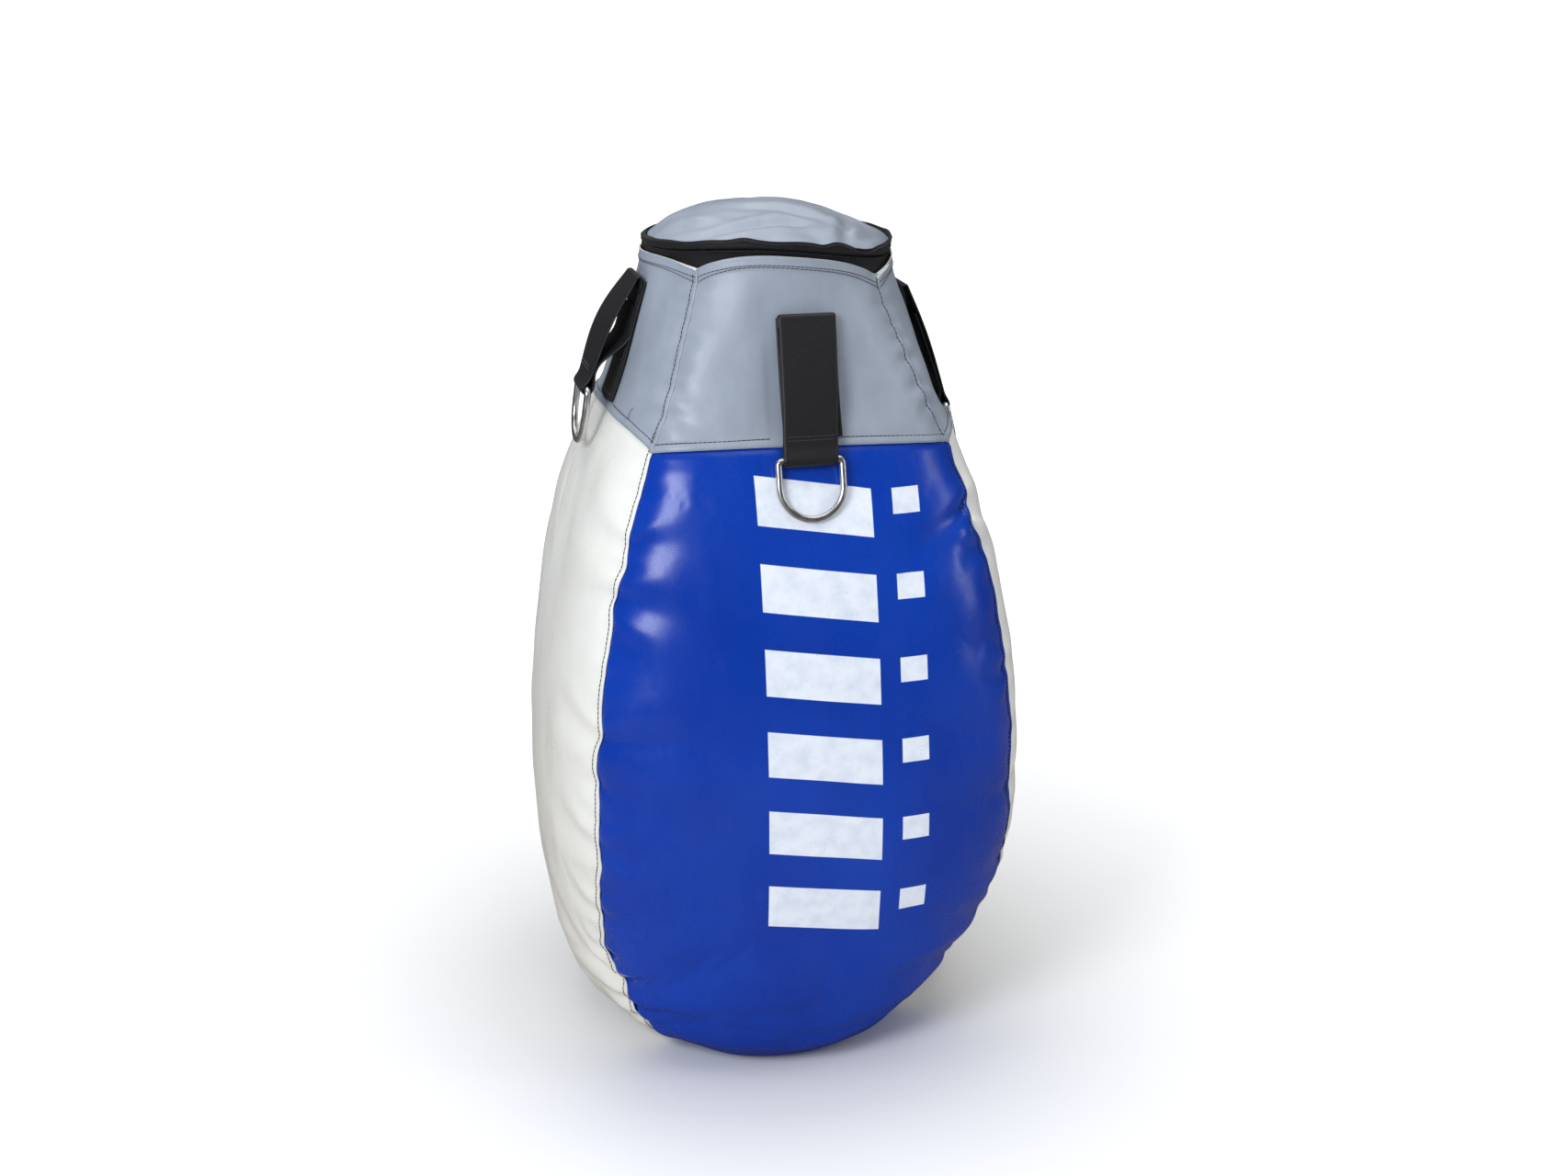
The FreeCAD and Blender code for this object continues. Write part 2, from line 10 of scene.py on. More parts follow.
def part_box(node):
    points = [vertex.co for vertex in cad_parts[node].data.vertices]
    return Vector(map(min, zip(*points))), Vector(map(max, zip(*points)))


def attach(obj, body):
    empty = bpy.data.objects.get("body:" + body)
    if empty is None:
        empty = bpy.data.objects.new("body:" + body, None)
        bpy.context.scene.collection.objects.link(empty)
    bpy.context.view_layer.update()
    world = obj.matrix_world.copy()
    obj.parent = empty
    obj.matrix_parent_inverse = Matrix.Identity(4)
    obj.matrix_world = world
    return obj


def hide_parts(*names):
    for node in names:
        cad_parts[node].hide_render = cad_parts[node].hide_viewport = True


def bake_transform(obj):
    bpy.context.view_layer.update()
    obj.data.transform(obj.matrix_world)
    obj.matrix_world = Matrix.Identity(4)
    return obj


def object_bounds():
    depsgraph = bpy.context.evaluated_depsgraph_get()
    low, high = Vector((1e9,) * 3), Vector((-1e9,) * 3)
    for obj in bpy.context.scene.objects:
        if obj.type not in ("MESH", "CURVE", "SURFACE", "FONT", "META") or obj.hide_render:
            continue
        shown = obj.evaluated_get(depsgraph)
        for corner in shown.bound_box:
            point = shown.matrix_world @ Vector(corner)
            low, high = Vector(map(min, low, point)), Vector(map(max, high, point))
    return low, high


# Looks of a teardrop heavy bag: pillowed vinyl gores, lapped and stitched seams, zipped lid, webbing straps.
# Lengths are in metres, in the frame of the CAD model. Angles are degrees from the front (-Y) towards +X.
# Tables that say "mm" hold plain millimetres.

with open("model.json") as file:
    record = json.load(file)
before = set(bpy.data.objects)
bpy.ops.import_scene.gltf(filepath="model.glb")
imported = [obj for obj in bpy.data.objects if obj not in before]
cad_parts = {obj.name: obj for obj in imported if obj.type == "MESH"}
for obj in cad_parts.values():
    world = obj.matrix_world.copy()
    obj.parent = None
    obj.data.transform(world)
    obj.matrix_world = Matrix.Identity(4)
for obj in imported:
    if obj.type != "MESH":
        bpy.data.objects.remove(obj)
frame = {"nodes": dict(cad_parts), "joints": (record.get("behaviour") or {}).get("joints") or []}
cad_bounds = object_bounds()

MM = 0.001
UPWARDS = np.array([0.0, 0.0, 1.0])
SIDES = {"front": 0.0, "right": 90.0, "back": 180.0, "left": 270.0}
NEXT = {"left": "front", "front": "right", "right": "back", "back": "left"}  # whose edge each panel laps over
PREVIOUS = {after: before for before, after in NEXT.items()}
JOINTS = {j["name"]: j for j in frame["joints"]}

HEIGHT = cad_bounds[1][2] - cad_bounds[0][2]
CORE = np.array([0.0, 0.0, 0.42 * HEIGHT])     # every point of the cover is in sight of this point
SKIN = 1.2 * MM                                # coated fabric
ZIP_Z = JOINTS["slider_travel"]["pos_m"][2]
ZIP_RADIUS = JOINTS["lid_hinge"]["pos_m"][1]
ZIP_HALF_ARC = 150.0
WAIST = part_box("front_yoke_panel")[0].z
YOKE_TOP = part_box("front_yoke_panel")[1].z
LID_RADIUS, LID_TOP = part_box("lid_panel")[1].x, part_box("lid_panel")[1].z
LID_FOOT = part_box("lid_panel")[0].z


# ---- sums used everywhere ------------------------------------------------------------------
def smooth(x):
    x = np.clip(x, 0.0, 1.0)
    return x * x * (3 - 2 * x)


def bell(x, width):
    return np.exp(-(x / width) ** 2)


def signed(phi):
    """Degrees brought to -180 to 180."""
    return (np.asarray(phi, float) + 180.0) % 360.0 - 180.0


def angle_of(points):
    return np.degrees(np.arctan2(points[..., 0], -points[..., 1]))


def across_of(side, points):
    """How far points lie across a side, from its middle."""
    a = math.radians(SIDES[side])
    return points[..., 0] * math.cos(a) + points[..., 1] * math.sin(a)


def travel(line):
    """Distance along a line of points, at each point."""
    return np.concatenate([[0], np.cumsum(np.linalg.norm(np.diff(line, axis=0), axis=1))])


def half_width(node):
    """Half of a front node's size along x."""
    low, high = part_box(node)
    return 0.5 * (high.x - low.x)


def waves(points, size, seed):
    """Soft noise over positions, built from a few sine waves of random direction."""
    rng = np.random.default_rng(seed)
    total = 0.0
    for _ in range(9):
        heading = rng.normal(size=3)
        heading /= np.linalg.norm(heading)
        length = size * rng.uniform(0.7, 1.5)
        total = total + np.sin(points @ heading * 2 * np.pi / length + rng.uniform(0, 6.3))
    return total / 3.0


def ripple(points, layers):
    """Several waves on top of each other; layers hold height in mm, size and seed."""
    return sum(height * MM * waves(points, size, seed) for height, size, seed in layers)


# ---- meshes from grids ---------------------------------------------------------------------
def grid_faces(rows, cols, closed=False, flip=False, start=0):
    """Quads of a grid of points; closed joins the last column to the first."""
    r = np.arange(rows - 1)[:, None]
    c = np.arange(cols if closed else cols - 1)[None, :]
    d = (c + 1) % cols
    corners = [r * cols + c, r * cols + d, (r + 1) * cols + d, (r + 1) * cols + c]
    quad = np.stack(corners, -1).reshape(-1, 4)
    return (quad[:, ::-1] if flip else quad) + start


def strip_faces(a, b, flip=False):
    """Quads between two rows of point numbers."""
    quad = np.stack([a[:-1], a[1:], b[1:], b[:-1]], -1)
    return quad[:, ::-1] if flip else quad


def shell(outer, inner, closed=False):
    """A closed solid between two grids of the same shape; outer's normal faces away from inner."""
    rows, cols = outer.shape[:2]
    count = rows * cols
    number = np.arange(count).reshape(rows, cols)
    faces = [grid_faces(rows, cols, closed), grid_faces(rows, cols, closed, True, count)]
    for row, flip in ((number[0], True), (number[-1], False)):
        loop = np.append(row, row[0]) if closed else row
        faces.append(strip_faces(loop, loop + count, flip))
    if not closed:
        faces.append(strip_faces(number[:, 0], number[:, 0] + count))
        faces.append(strip_faces(number[:, -1], number[:, -1] + count, True))
    points = np.concatenate([outer.reshape(-1, 3), inner.reshape(-1, 3)])
    return points, np.concatenate(faces)


def dome_shell(outer, inner):
    """A shell of closed rings whose last ring is closed by a fan on both faces."""
    rows, cols = outer.shape[:2]
    points, faces = shell(outer, inner, True)
    faces = faces[:-cols].tolist()
    top = (rows - 1) * cols
    under = top + rows * cols
    crowns = [points[start:start + cols].mean(0)[None] for start in (top, under)]
    points = np.concatenate([points] + crowns)
    for i in range(cols):
        j = (i + 1) % cols
        faces.append([top + i, top + j, len(points) - 2])
        faces.append([under + j, under + i, len(points) - 1])
    return points, faces


def stacked(rings):
    """A closed body from rings of points, bottom to top, with a fan at both ends."""
    rings = np.asarray(rings)
    rows, cols = rings.shape[:2]
    faces = grid_faces(rows, cols, True).tolist()
    points = rings.reshape(-1, 3)
    for row, order in ((0, -1), (rows - 1, 1)):
        points = np.concatenate([points, rings[row].mean(0)[None]])
        for i in range(cols):
            pair = [row * cols + i, row * cols + (i + 1) % cols]
            faces.append(pair[::order] + [len(points) - 1])
    return points, faces


def grid_normals(points, closed=False):
    """Outward unit normals of a grid whose rows climb and whose columns run counterclockwise from above."""
    if closed:
        across = np.roll(points, -1, 1) - np.roll(points, 1, 1)
    else:
        across = np.gradient(points, axis=1)
    normal = np.cross(across, np.gradient(points, axis=0))
    return normal / np.maximum(np.linalg.norm(normal, axis=-1, keepdims=True), 1e-12)


def joined(parts):
    """Several (points, faces) as one."""
    points, faces, start = [], [], 0
    for p, f in parts:
        p = np.asarray(p).reshape(-1, 3)
        points.append(p)
        faces.extend((np.asarray(q) + start).tolist() for q in f)
        start += len(p)
    return np.concatenate(points), faces


def tube(path, radius, sides=10, closed=False):
    """A round rod along a path of points, by parallel transport."""
    path = np.asarray(path, float)
    count = len(path)
    if closed:
        tangent = np.roll(path, -1, 0) - np.roll(path, 1, 0)
    else:
        tangent = np.gradient(path, axis=0)
    tangent /= np.linalg.norm(tangent, axis=1, keepdims=True)
    seed = UPWARDS if abs(tangent[0][2]) < 0.9 else np.array([1.0, 0.0, 0.0])
    side = np.cross(tangent[0], seed)
    frames = []
    for t in tangent:
        side = side - t * np.dot(side, t)
        side /= np.linalg.norm(side)
        frames.append((side, np.cross(t, side)))
    angle = np.arange(sides) * 2 * np.pi / sides
    radius = np.broadcast_to(np.asarray(radius, float), (count,))
    rings = np.array([p + r * (np.cos(angle)[:, None] * a + np.sin(angle)[:, None] * b)
                      for p, r, (a, b) in zip(path, radius, frames)])
    faces = grid_faces(count, sides, True).tolist()
    last = (count - 1) * sides
    if closed:
        turn = int(np.argmin(np.linalg.norm(rings[0] - rings[-1][0], axis=1)))
        for i in range(sides):
            j = (i + 1) % sides
            faces.append([last + i, last + j, (j + turn) % sides, (i + turn) % sides])
    else:
        faces.append(list(range(sides))[::-1])
        faces.append(list(range(last, last + sides)))
    return rings.reshape(-1, 3), faces


def make(name, points, faces, slot, body, nodes=()):
    """A mesh object that rides on a body and stands for CAD nodes."""
    mesh = bpy.data.meshes.new(name)
    mesh.from_pydata(np.asarray(points, float).tolist(), [], [list(map(int, f)) for f in faces])
    mesh.validate()
    mesh.polygons.foreach_set("use_smooth", [True] * len(mesh.polygons))
    obj = bpy.data.objects.new(name, mesh)
    bpy.context.scene.collection.objects.link(obj)
    mesh.materials.append(look(slot))
    if body:
        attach(obj, body)
    if nodes:
        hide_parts(*nodes)
    return obj


# ---- the shape of the cover, read from the CAD panels --------------------------------------
SEAM_ANGLE = 45.0
SEAM_SPREAD = 4.5        # degrees by which front and back panels are wider at the belly
YOKE_DIP = 11 * MM       # how far the yoke's top edge falls to its corners
FLOOR_GAP = 0.5 * MM     # the cover stays this far above the floor
FLOOR_SOFT = 0.6 * MM
NECK_STEP = 1.4 * MM     # from the middle of tape and lid out to the top of the yoke
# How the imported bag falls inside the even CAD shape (mm and degrees): depth, place, spread, top and fade.
LOW_SAGS = ((14.0, 62.0, 34.0, 165.0, 120.0), (-9.0, -16.0, 42.0, 75.0, 60.0))
BACK_LEFT_SAG = (4.5, -108.0, 26.0, 250.0, 130.0)   # the same, round a height in place of a top
SEAM_SAG = (5.0, 15.0, 190.0, 150.0)                # the same at every seam: depth, spread, top and fade
FOOT_HELD = (1.2, 9.0)                              # height and fade of the firm foot


def direction(phi, beta):
    """Unit vectors from CORE, beta degrees above the horizon."""
    a, b = np.radians(phi), np.radians(beta)
    return np.stack([np.sin(a) * np.cos(b), -np.cos(a) * np.cos(b), np.sin(b) + 0 * a], -1)


def rest_on_floor(z):
    """Heights kept softly above the floor."""
    over = (z - FLOOR_GAP) / FLOOR_SOFT
    return FLOOR_GAP + FLOOR_SOFT * np.logaddexp(0.0, over)


class Cover:
    """Distance from CORE to the outside of the cover, over the angle phi and a share s of the way up."""
    PHIS = 180
    ROWS = 240
    FIRST_PHI = 0.7      # off the panels' seams, where a ray could slip through
    MARGIN = 0.3         # degrees kept clear of the cover's two edges
    SAMPLES = 400
    REACH = 0.6          # rays start this far out
    NEAREST = 0.05       # closer hits are on the far side of a gap

    def __init__(self):
        points, polygons = [], []
        for side in SIDES:
            for kind in ("_body_panel", "_yoke_panel"):
                mesh = frame["nodes"][side + kind].data
                start = len(points)
                points += [v.co.copy() for v in mesh.vertices]
                polygons += [[i + start for i in p.vertices] for p in mesh.polygons]
        self.tree = BVHTree.FromPolygons(points, polygons)
        self.beta, self.length = self.levels()
        phis = np.arange(self.PHIS) * 360.0 / self.PHIS + self.FIRST_PHI
        table = self.without_gaps(np.array([[self.cast(p, b) for p in phis] for b in self.beta]), phis)
        table = table - self.sag(table, phis)
        for _ in range(3):
            table = (np.roll(table, 1, 1) + 2 * table + np.roll(table, -1, 1)) / 4
            inside = (table[:-2] + 2 * table[1:-1] + table[2:]) / 4
            table = np.concatenate([table[:1], inside, table[-1:]])
        self.table = table

    def levels(self):
        """The rows' angles above the horizon, evenly spaced up the front panel, and its length."""
        foot = math.atan2(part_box("front_body_panel")[0].z - CORE[2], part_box("base_panel")[1].x)
        neck = math.atan2(YOKE_TOP - CORE[2], 0.5 * (ZIP_RADIUS + LID_RADIUS) + NECK_STEP)
        beta = np.linspace(math.degrees(foot) + self.MARGIN, math.degrees(neck) - self.MARGIN, self.SAMPLES)
        reach = np.array([self.cast(1.0, b) for b in beta])
        beta, reach = beta[~np.isnan(reach)], reach[~np.isnan(reach)]
        path = reach[:, None] * np.stack([np.cos(np.radians(beta)), np.sin(np.radians(beta))], -1)
        way = travel(path)
        return np.interp(np.linspace(0, 1, self.ROWS), way / way[-1], beta), way[-1]

    def cast(self, phi, beta):
        out = direction(np.float64(phi), np.float64(beta))
        hit = self.tree.ray_cast(Vector(CORE + out * self.REACH), Vector(-out))
        if hit[0] is None:
            return np.nan
        distance = float(np.linalg.norm(np.array(hit[0]) - CORE))
        return distance if distance > self.NEAREST and hit[3] < self.REACH else np.nan

    @staticmethod
    def without_gaps(table, phis):
        """Missed rays are read from their neighbours, and an empty row from the third row before it."""
        for row in table:
            bad = np.isnan(row)
            if bad.any() and not bad.all():
                row[bad] = np.interp(phis[bad], phis[~bad], row[~bad], period=360.0)
        return np.array([row if not np.isnan(row).any() else table[max(i - 3, 0)]
                         for i, row in enumerate(table)])

    def sag(self, table, phis):
        """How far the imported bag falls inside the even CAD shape."""
        height = (CORE[2] + table * np.sin(np.radians(self.beta))[:, None]) / MM
        turn = signed(phis)[None, :]
        total = 0.0
        for depth, place, spread, top, fade in LOW_SAGS:
            total = total + depth * bell(turn - place, spread) * smooth((top - height) / fade)
        depth, place, spread, middle, fade = BACK_LEFT_SAG
        total = total + depth * bell(turn - place, spread) * bell(height - middle, fade)
        depth, spread, top, fade = SEAM_SAG
        seam = SEAM_ANGLE + 2
        seams = sum(bell(np.abs(turn) - place, spread) for place in (seam, 180 - seam))
        firm_left = 1 - 0.8 * bell(turn + seam, 2 * spread)
        total = total + depth * seams * firm_left * smooth((top - height) / fade)
        return MM * total * smooth((height - FOOT_HELD[0]) / FOOT_HELD[1])

    def reach(self, phi, s):
        """Distance at phi and s, carried on in a straight line past the table's first and last rows."""
        s = np.asarray(s, float)
        end = np.where(s > 0.5, 1.0, 0.0)
        beyond = np.where(s > 0.5, np.maximum(s - 1.0, 0.0), np.minimum(s, 0.0))
        step = 4.0 / (self.ROWS - 1) * np.where(s > 0.5, -1.0, 1.0)
        slope = (self.inside(phi, end + step) - self.inside(phi, end)) / step
        return self.inside(phi, s) + slope * beyond

    def inside(self, phi, s):
        """Bicubic look-up inside the table."""
        x = (np.asarray(phi, float) - self.FIRST_PHI) * self.PHIS / 360.0
        y = np.clip(s, 0.0, 1.0) * (self.ROWS - 1)
        xi, yi = np.floor(x).astype(int), np.floor(np.clip(y, 0, self.ROWS - 1.001)).astype(int)

        def weights(f):
            return (0.5 * (-f + 2 * f * f - f ** 3), 0.5 * (2 - 5 * f * f + 3 * f ** 3),
                    0.5 * (f + 4 * f * f - 3 * f ** 3), 0.5 * (-f * f + f ** 3))
        total = 0.0
        for j, wy in enumerate(weights(y - yi)):
            row = np.clip(yi + j - 1, 0, self.ROWS - 1)
            total = total + wy * sum(wx * self.table[row, (xi + i - 1) % self.PHIS]
                                     for i, wx in enumerate(weights(x - xi)))
        return total

    def point(self, phi, s):
        s = np.asarray(s, float)
        beta = np.interp(s, np.linspace(0, 1, self.ROWS), self.beta)
        slopes = np.diff(self.beta)[[0, -1]] * (self.ROWS - 1)
        beta = beta + slopes[0] * np.minimum(s, 0) + slopes[1] * np.maximum(s - 1, 0)
        place = CORE + self.reach(phi, s)[..., None] * direction(phi, beta)
        place[..., 2] = rest_on_floor(place[..., 2])
        return place

    def share(self, phi, z):
        """The s at which the cover reaches a height."""
        phi, z = np.broadcast_arrays(np.asarray(phi, float), np.asarray(z, float))
        low, high = np.full(phi.shape, -0.02), np.full(phi.shape, 1.03)
        for _ in range(26):
            mid = (low + high) / 2
            under = self.point(phi, mid)[..., 2] < z
            low, high = np.where(under, mid, low), np.where(under, high, mid)
        return (low + high) / 2


COVER = Cover()
WAIST_S = float(COVER.share(0.0, WAIST))
LEVELS = np.linspace(0, 1, 200)
LEVEL_Z = COVER.point(SEAM_ANGLE + 0 * LEVELS, LEVELS)[:, 2]
WIDER = {"front": 1.0, "back": 1.0, "left": -1.0, "right": -1.0}   # which way a panel's right edge moves
# Small steps of each seam (named by the panel whose right edge it is): height in mm, degrees, reach in mm.
JOGS = {
    "left": ((470, -0.9, 10), (438, 0.8, 12), (330, -0.9, 9), (295, 0.6, 14), (205, -0.8, 9),
             (118, 1.1, 11), (82, -1.2, 9)),
    "front": ((488, -3.2, 15), (520, 0.8, 12), (405, -0.7, 12), (300, 1.0, 14), (250, -1.0, 9),
              (215, 1.0, 12)),
    "right": ((450, 0.9, 12), (260, -0.9, 10)),
    "back": ((420, -0.9, 12), (190, 0.9, 10)),
}
LOW_SPREAD = {"left": 5.0, "front": 7.0, "right": 5.0, "back": 5.0}   # degrees more near the foot
LOW_SPREAD_Z = (105 * MM, 75 * MM)
# The waist seam above WAIST: height at each panel's right corner; rise in the middle, flatness and lean (mm).
WAIST_CORNER = {"left": 0.3, "front": -4.5, "right": 0.0, "back": 0.0}
WAIST_ARCH = {"left": (13.0, 7, 3.0), "front": (7.0, 4, 0.0), "right": (12.0, 4, 0.0), "back": (9.0, 3, 0.0)}
YOKE_RISE, YOKE_CORNER = 1.5 * MM, 3.2       # above YOKE_TOP in the middle, and how sharp the dip is


def seam_shift(seam, s):
    """Degrees by which a seam stands off its corner, so that front and back widen at the belly."""
    z = np.interp(s, LEVELS, LEVEL_Z)
    shift = SEAM_SPREAD * np.sin(np.pi * np.clip(s / WAIST_S, 0, 1)) ** 0.7
    shift = shift + LOW_SPREAD[seam] * bell(z - LOW_SPREAD_Z[0], LOW_SPREAD_Z[1])
    for height, degrees, reach in JOGS[seam]:
        shift = shift + degrees * bell(z - height * MM, reach * MM)
    return shift


def edges(side, s):
    """Angles of a panel's left and right seams."""
    left = SIDES[side] - SEAM_ANGLE - WIDER[side] * seam_shift(PREVIOUS[side], s)
    right = SIDES[side] + SEAM_ANGLE + WIDER[side] * seam_shift(side, s)
    return left, right


def angle_at(side, v, s):
    left, right = edges(side, s)
    return 0.5 * (left + right) + v * 0.5 * (right - left)


def waist_height(side, v):
    rise, flat, lean = WAIST_ARCH[side]
    v = np.clip(v, -1, 1)
    first, last = WAIST_CORNER[PREVIOUS[side]], WAIST_CORNER[side]
    level = first + (last - first) * (v + 1) / 2
    return WAIST + MM * (level + rise * (1 - np.abs(v) ** flat) + lean * v * (1 - v * v))


def yoke_top_height(v):
    return YOKE_TOP + YOKE_RISE - YOKE_DIP * np.abs(v) ** YOKE_CORNER


def on_cover(side, x, z):
    """A grid of points on the cover, at places x across a side and heights z, and its normals."""
    phi = np.zeros((len(z), len(x)))
    share = COVER.share(SIDES[side] + 0 * z, z)[:, None] + 0 * phi
    for _ in range(6):
        points = COVER.point(SIDES[side] + phi, share)
        off = x[None, :] - across_of(side, points)
        phi = phi + np.degrees(off / np.hypot(points[..., 0], points[..., 1]))
    points = COVER.point(SIDES[side] + phi, share)
    return points, grid_normals(points)


class Panel:
    """A gore of the cover as a grid, with its outline, its displacement and the way back from distances."""
    LAP = 2.5 * MM       # how far its right edge reaches over its neighbour

    def __init__(self, side, rows, cols, low, high):
        """low and high give s at (v, phi) for the bottom and top edges."""
        u = np.linspace(0, 1, rows)[:, None]
        v = np.linspace(-1, 1, cols)
        v = np.sign(v) * (1 - (1 - np.abs(v)) ** 1.25)       # finer towards the seams
        first = last = 0 * v
        for _ in range(3):
            first = low(v, angle_at(side, v, first))
            last = high(v, angle_at(side, v, last))
        s = first + u * (last - first)
        self.v = v[None, :] + 0 * u
        self.along = s * COVER.length                         # the same on both sides of a seam
        left, right = edges(side, s)
        phi = angle_at(side, self.v, s)
        plain = COVER.point(phi, s)
        radius = np.hypot(plain[..., 0], plain[..., 1])
        reach = radius * np.radians(0.5 * (right - left))     # from the middle of the panel to its seam
        self.right = (1 - self.v) * reach                     # distance to the seam on the +v side
        self.left = (1 + self.v) * reach
        over = self.LAP * smooth(self.v * 6 - 5)
        self.points = COVER.point(phi + np.degrees(over / radius), s)
        self.normal = grid_normals(self.points)
        climb = np.linalg.norm(np.diff(self.points, axis=0), axis=-1)
        self.climb = np.concatenate([np.zeros((1, cols)), np.cumsum(climb, axis=0)])
        self.from_top = self.climb[-1:] - self.climb

    def move(self, shift):
        self.points = self.points + shift
        self.normal = grid_normals(self.points)

    def push(self, amount):
        """Moves every point along its normal."""
        self.move(self.normal * amount[..., None])

    def at(self, row, col):
        """Point and normal at fractional grid places."""
        rows, cols = self.points.shape[:2]
        row, col = np.clip(row, 0, rows - 1.001), np.clip(col, 0, cols - 1.001)
        r, c = np.floor(row).astype(int), np.floor(col).astype(int)
        fr, fc = (row - r)[..., None], (col - c)[..., None]

        def mix(grid):
            return ((1 - fr) * ((1 - fc) * grid[r, c] + fc * grid[r, c + 1])
                    + fr * ((1 - fc) * grid[r + 1, c] + fc * grid[r + 1, c + 1]))
        normal = mix(self.normal)
        return mix(self.points), normal / np.linalg.norm(normal, axis=-1, keepdims=True)

    def near_edge(self, edge, inset):
        """The fractional column of each row (row of each column) at a distance in from an edge."""
        lines = self.points if edge in ("left", "right") else np.swapaxes(self.points, 0, 1)
        found = []
        for line, distance in zip(lines, np.broadcast_to(inset, (len(lines),))):
            way = travel(line)
            want = distance if edge in ("left", "bottom") else way[-1] - distance
            found.append(np.interp(want, way, np.arange(len(line))))
        return np.array(found)

    def solid(self):
        return shell(self.points, self.points - self.normal * SKIN)


# ---- materials -----------------------------------------------------------------------------
LOOKS = {}


def look(slot):
    """The material of a slot, made on first use."""
    if slot not in LOOKS:
        shader = Shader(slot)
        LOOK_MAKERS[slot](shader)
        LOOKS[slot] = shader.material
    return LOOKS[slot]


class Shader:
    """Short calls for building a node tree."""

    def __init__(self, name):
        self.material = bpy.data.materials.new(name)
        self.material.use_nodes = True
        self.tree = self.material.node_tree
        self.surface = self.tree.nodes["Principled BSDF"]
        self.place = self.add("ShaderNodeTexCoord").outputs["Object"]

    def add(self, kind, **inputs):
        node = self.tree.nodes.new(kind)
        for key, value in inputs.items():
            name = key.replace("_", " ")
            if name in node.inputs:
                self.set(node.inputs[name], value)
            else:
                setattr(node, key, value)
        return node

    def set(self, socket, value):
        if isinstance(value, bpy.types.NodeSocket):
            self.tree.links.new(value, socket)
        else:
            socket.default_value = value

    def bsdf(self, **inputs):
        for key, value in inputs.items():
            self.set(self.surface.inputs[key.replace("_", " ")], value)

    def math(self, operation, *values):
        node = self.add("ShaderNodeMath", operation=operation)
        for socket, value in zip(node.inputs, values):
            self.set(socket, value)
        return node.outputs[0]

    def noise(self, scale, detail=3.0, rough=0.5, vector=None, distortion=0.0):
        node = self.add("ShaderNodeTexNoise", Scale=scale, Detail=detail, Roughness=rough,
                        Distortion=distortion, Vector=vector or self.place)
        return node.outputs["Fac"]

    def cells(self, scale):
        """The outputs of a cell pattern."""
        return self.add("ShaderNodeTexVoronoi", Scale=scale, Vector=self.place).outputs

    def stretch(self, x, y, z):
        return self.add("ShaderNodeMapping", Scale=(x, y, z), Vector=self.place).outputs["Vector"]

    def ramp(self, value, low, high, start=0.0, end=1.0):
        node = self.add("ShaderNodeMapRange", From_Min=low, From_Max=high, To_Min=start, To_Max=end,
                        Value=value)
        return node.outputs["Result"]

    def mix(self, share, a, b):
        node = self.add("ShaderNodeMix", data_type="RGBA")
        for number, value in ((0, share), (6, a), (7, b)):   # the factor and the two colours
            self.set(node.inputs[number], value)
        return node.outputs[2]

    def tint(self, base, colour, value, low, high, most=1.0):
        """base, turned towards a colour where value rises from low to high."""
        return self.mix(self.ramp(value, low, high, 0.0, most), base, colour)

    def split(self):
        return self.add("ShaderNodeSeparateXYZ", Vector=self.place).outputs

    def bump(self, height, distance, strength=1.0, normal=None):
        node = self.add("ShaderNodeBump", Distance=distance, Strength=strength, Height=height)
        if normal is not None:
            self.set(node.inputs["Normal"], normal)
        return node.outputs["Normal"]

    def between(self, value, low, high, soft):
        """1 between low and high, with soft edges."""
        return self.math("MULTIPLY", self.ramp(value, low - soft, low + soft),
                         self.ramp(value, high - soft, high + soft, 1.0, 0.0))


def rgb(r, g, b):
    return (r, g, b, 1.0)


def weave_height(s, pitch):
    """Height of a plain weave with threads along the object's axes."""
    x, y, z = s.split()
    turn = 2 * math.pi / pitch
    level = s.math("SINE", s.math("MULTIPLY", z, turn))
    round_about = s.math("SINE", s.math("MULTIPLY", s.math("ADD", x, y), turn))
    return s.math("MULTIPLY", level, round_about)


def vinyl_skin(s, colour, rough, wrinkle=1.0):
    """Shared build of the coated fabrics: woven backing showing through, fine wrinkles, smears of dust."""
    fine = s.noise(420.0, 3.0, 0.6)
    smear = s.noise(34.0, 4.0, 0.62, s.stretch(1.0, 1.0, 0.35))
    rough_value = s.math("ADD", s.ramp(smear, 0.3, 0.75, rough - 0.05, rough + 0.10),
                         s.ramp(fine, 0.3, 0.7, -0.02, 0.03))
    scrim = s.bump(weave_height(s, 1.5 * MM), 0.05 * MM, 0.06)
    grain = s.bump(fine, 0.06 * MM, 0.18, scrim)
    crumple = s.bump(s.noise(40.0, 2.0, 0.45, distortion=0.3), 0.8 * MM * wrinkle, 0.30, grain)
    normal = s.bump(s.noise(13.0, 2.0), 3.0 * MM * wrinkle, 0.35, crumple)
    s.bsdf(Base_Color=colour, Roughness=rough_value, Normal=normal, Specular_IOR_Level=0.5,
           Coat_Weight=0.06, Coat_Roughness=0.12, Coat_Normal=normal)


# Plain print down the front: slanted bars in a wide column, small squares in a narrow one beside it.
PRINT_LOW, PRINT_HIGH = 0.185 * HEIGHT, 0.735 * HEIGHT
PRINT_COUNT = 6
PRINT_SOFT = 0.25 * MM
BAR_SIDES, BAR_SHARE, BAR_SLANT = (-47 * MM, 51 * MM), 0.56, 0.16
SQUARE_SIDES, SQUARE_SHARE = (69 * MM, 93 * MM), 0.30


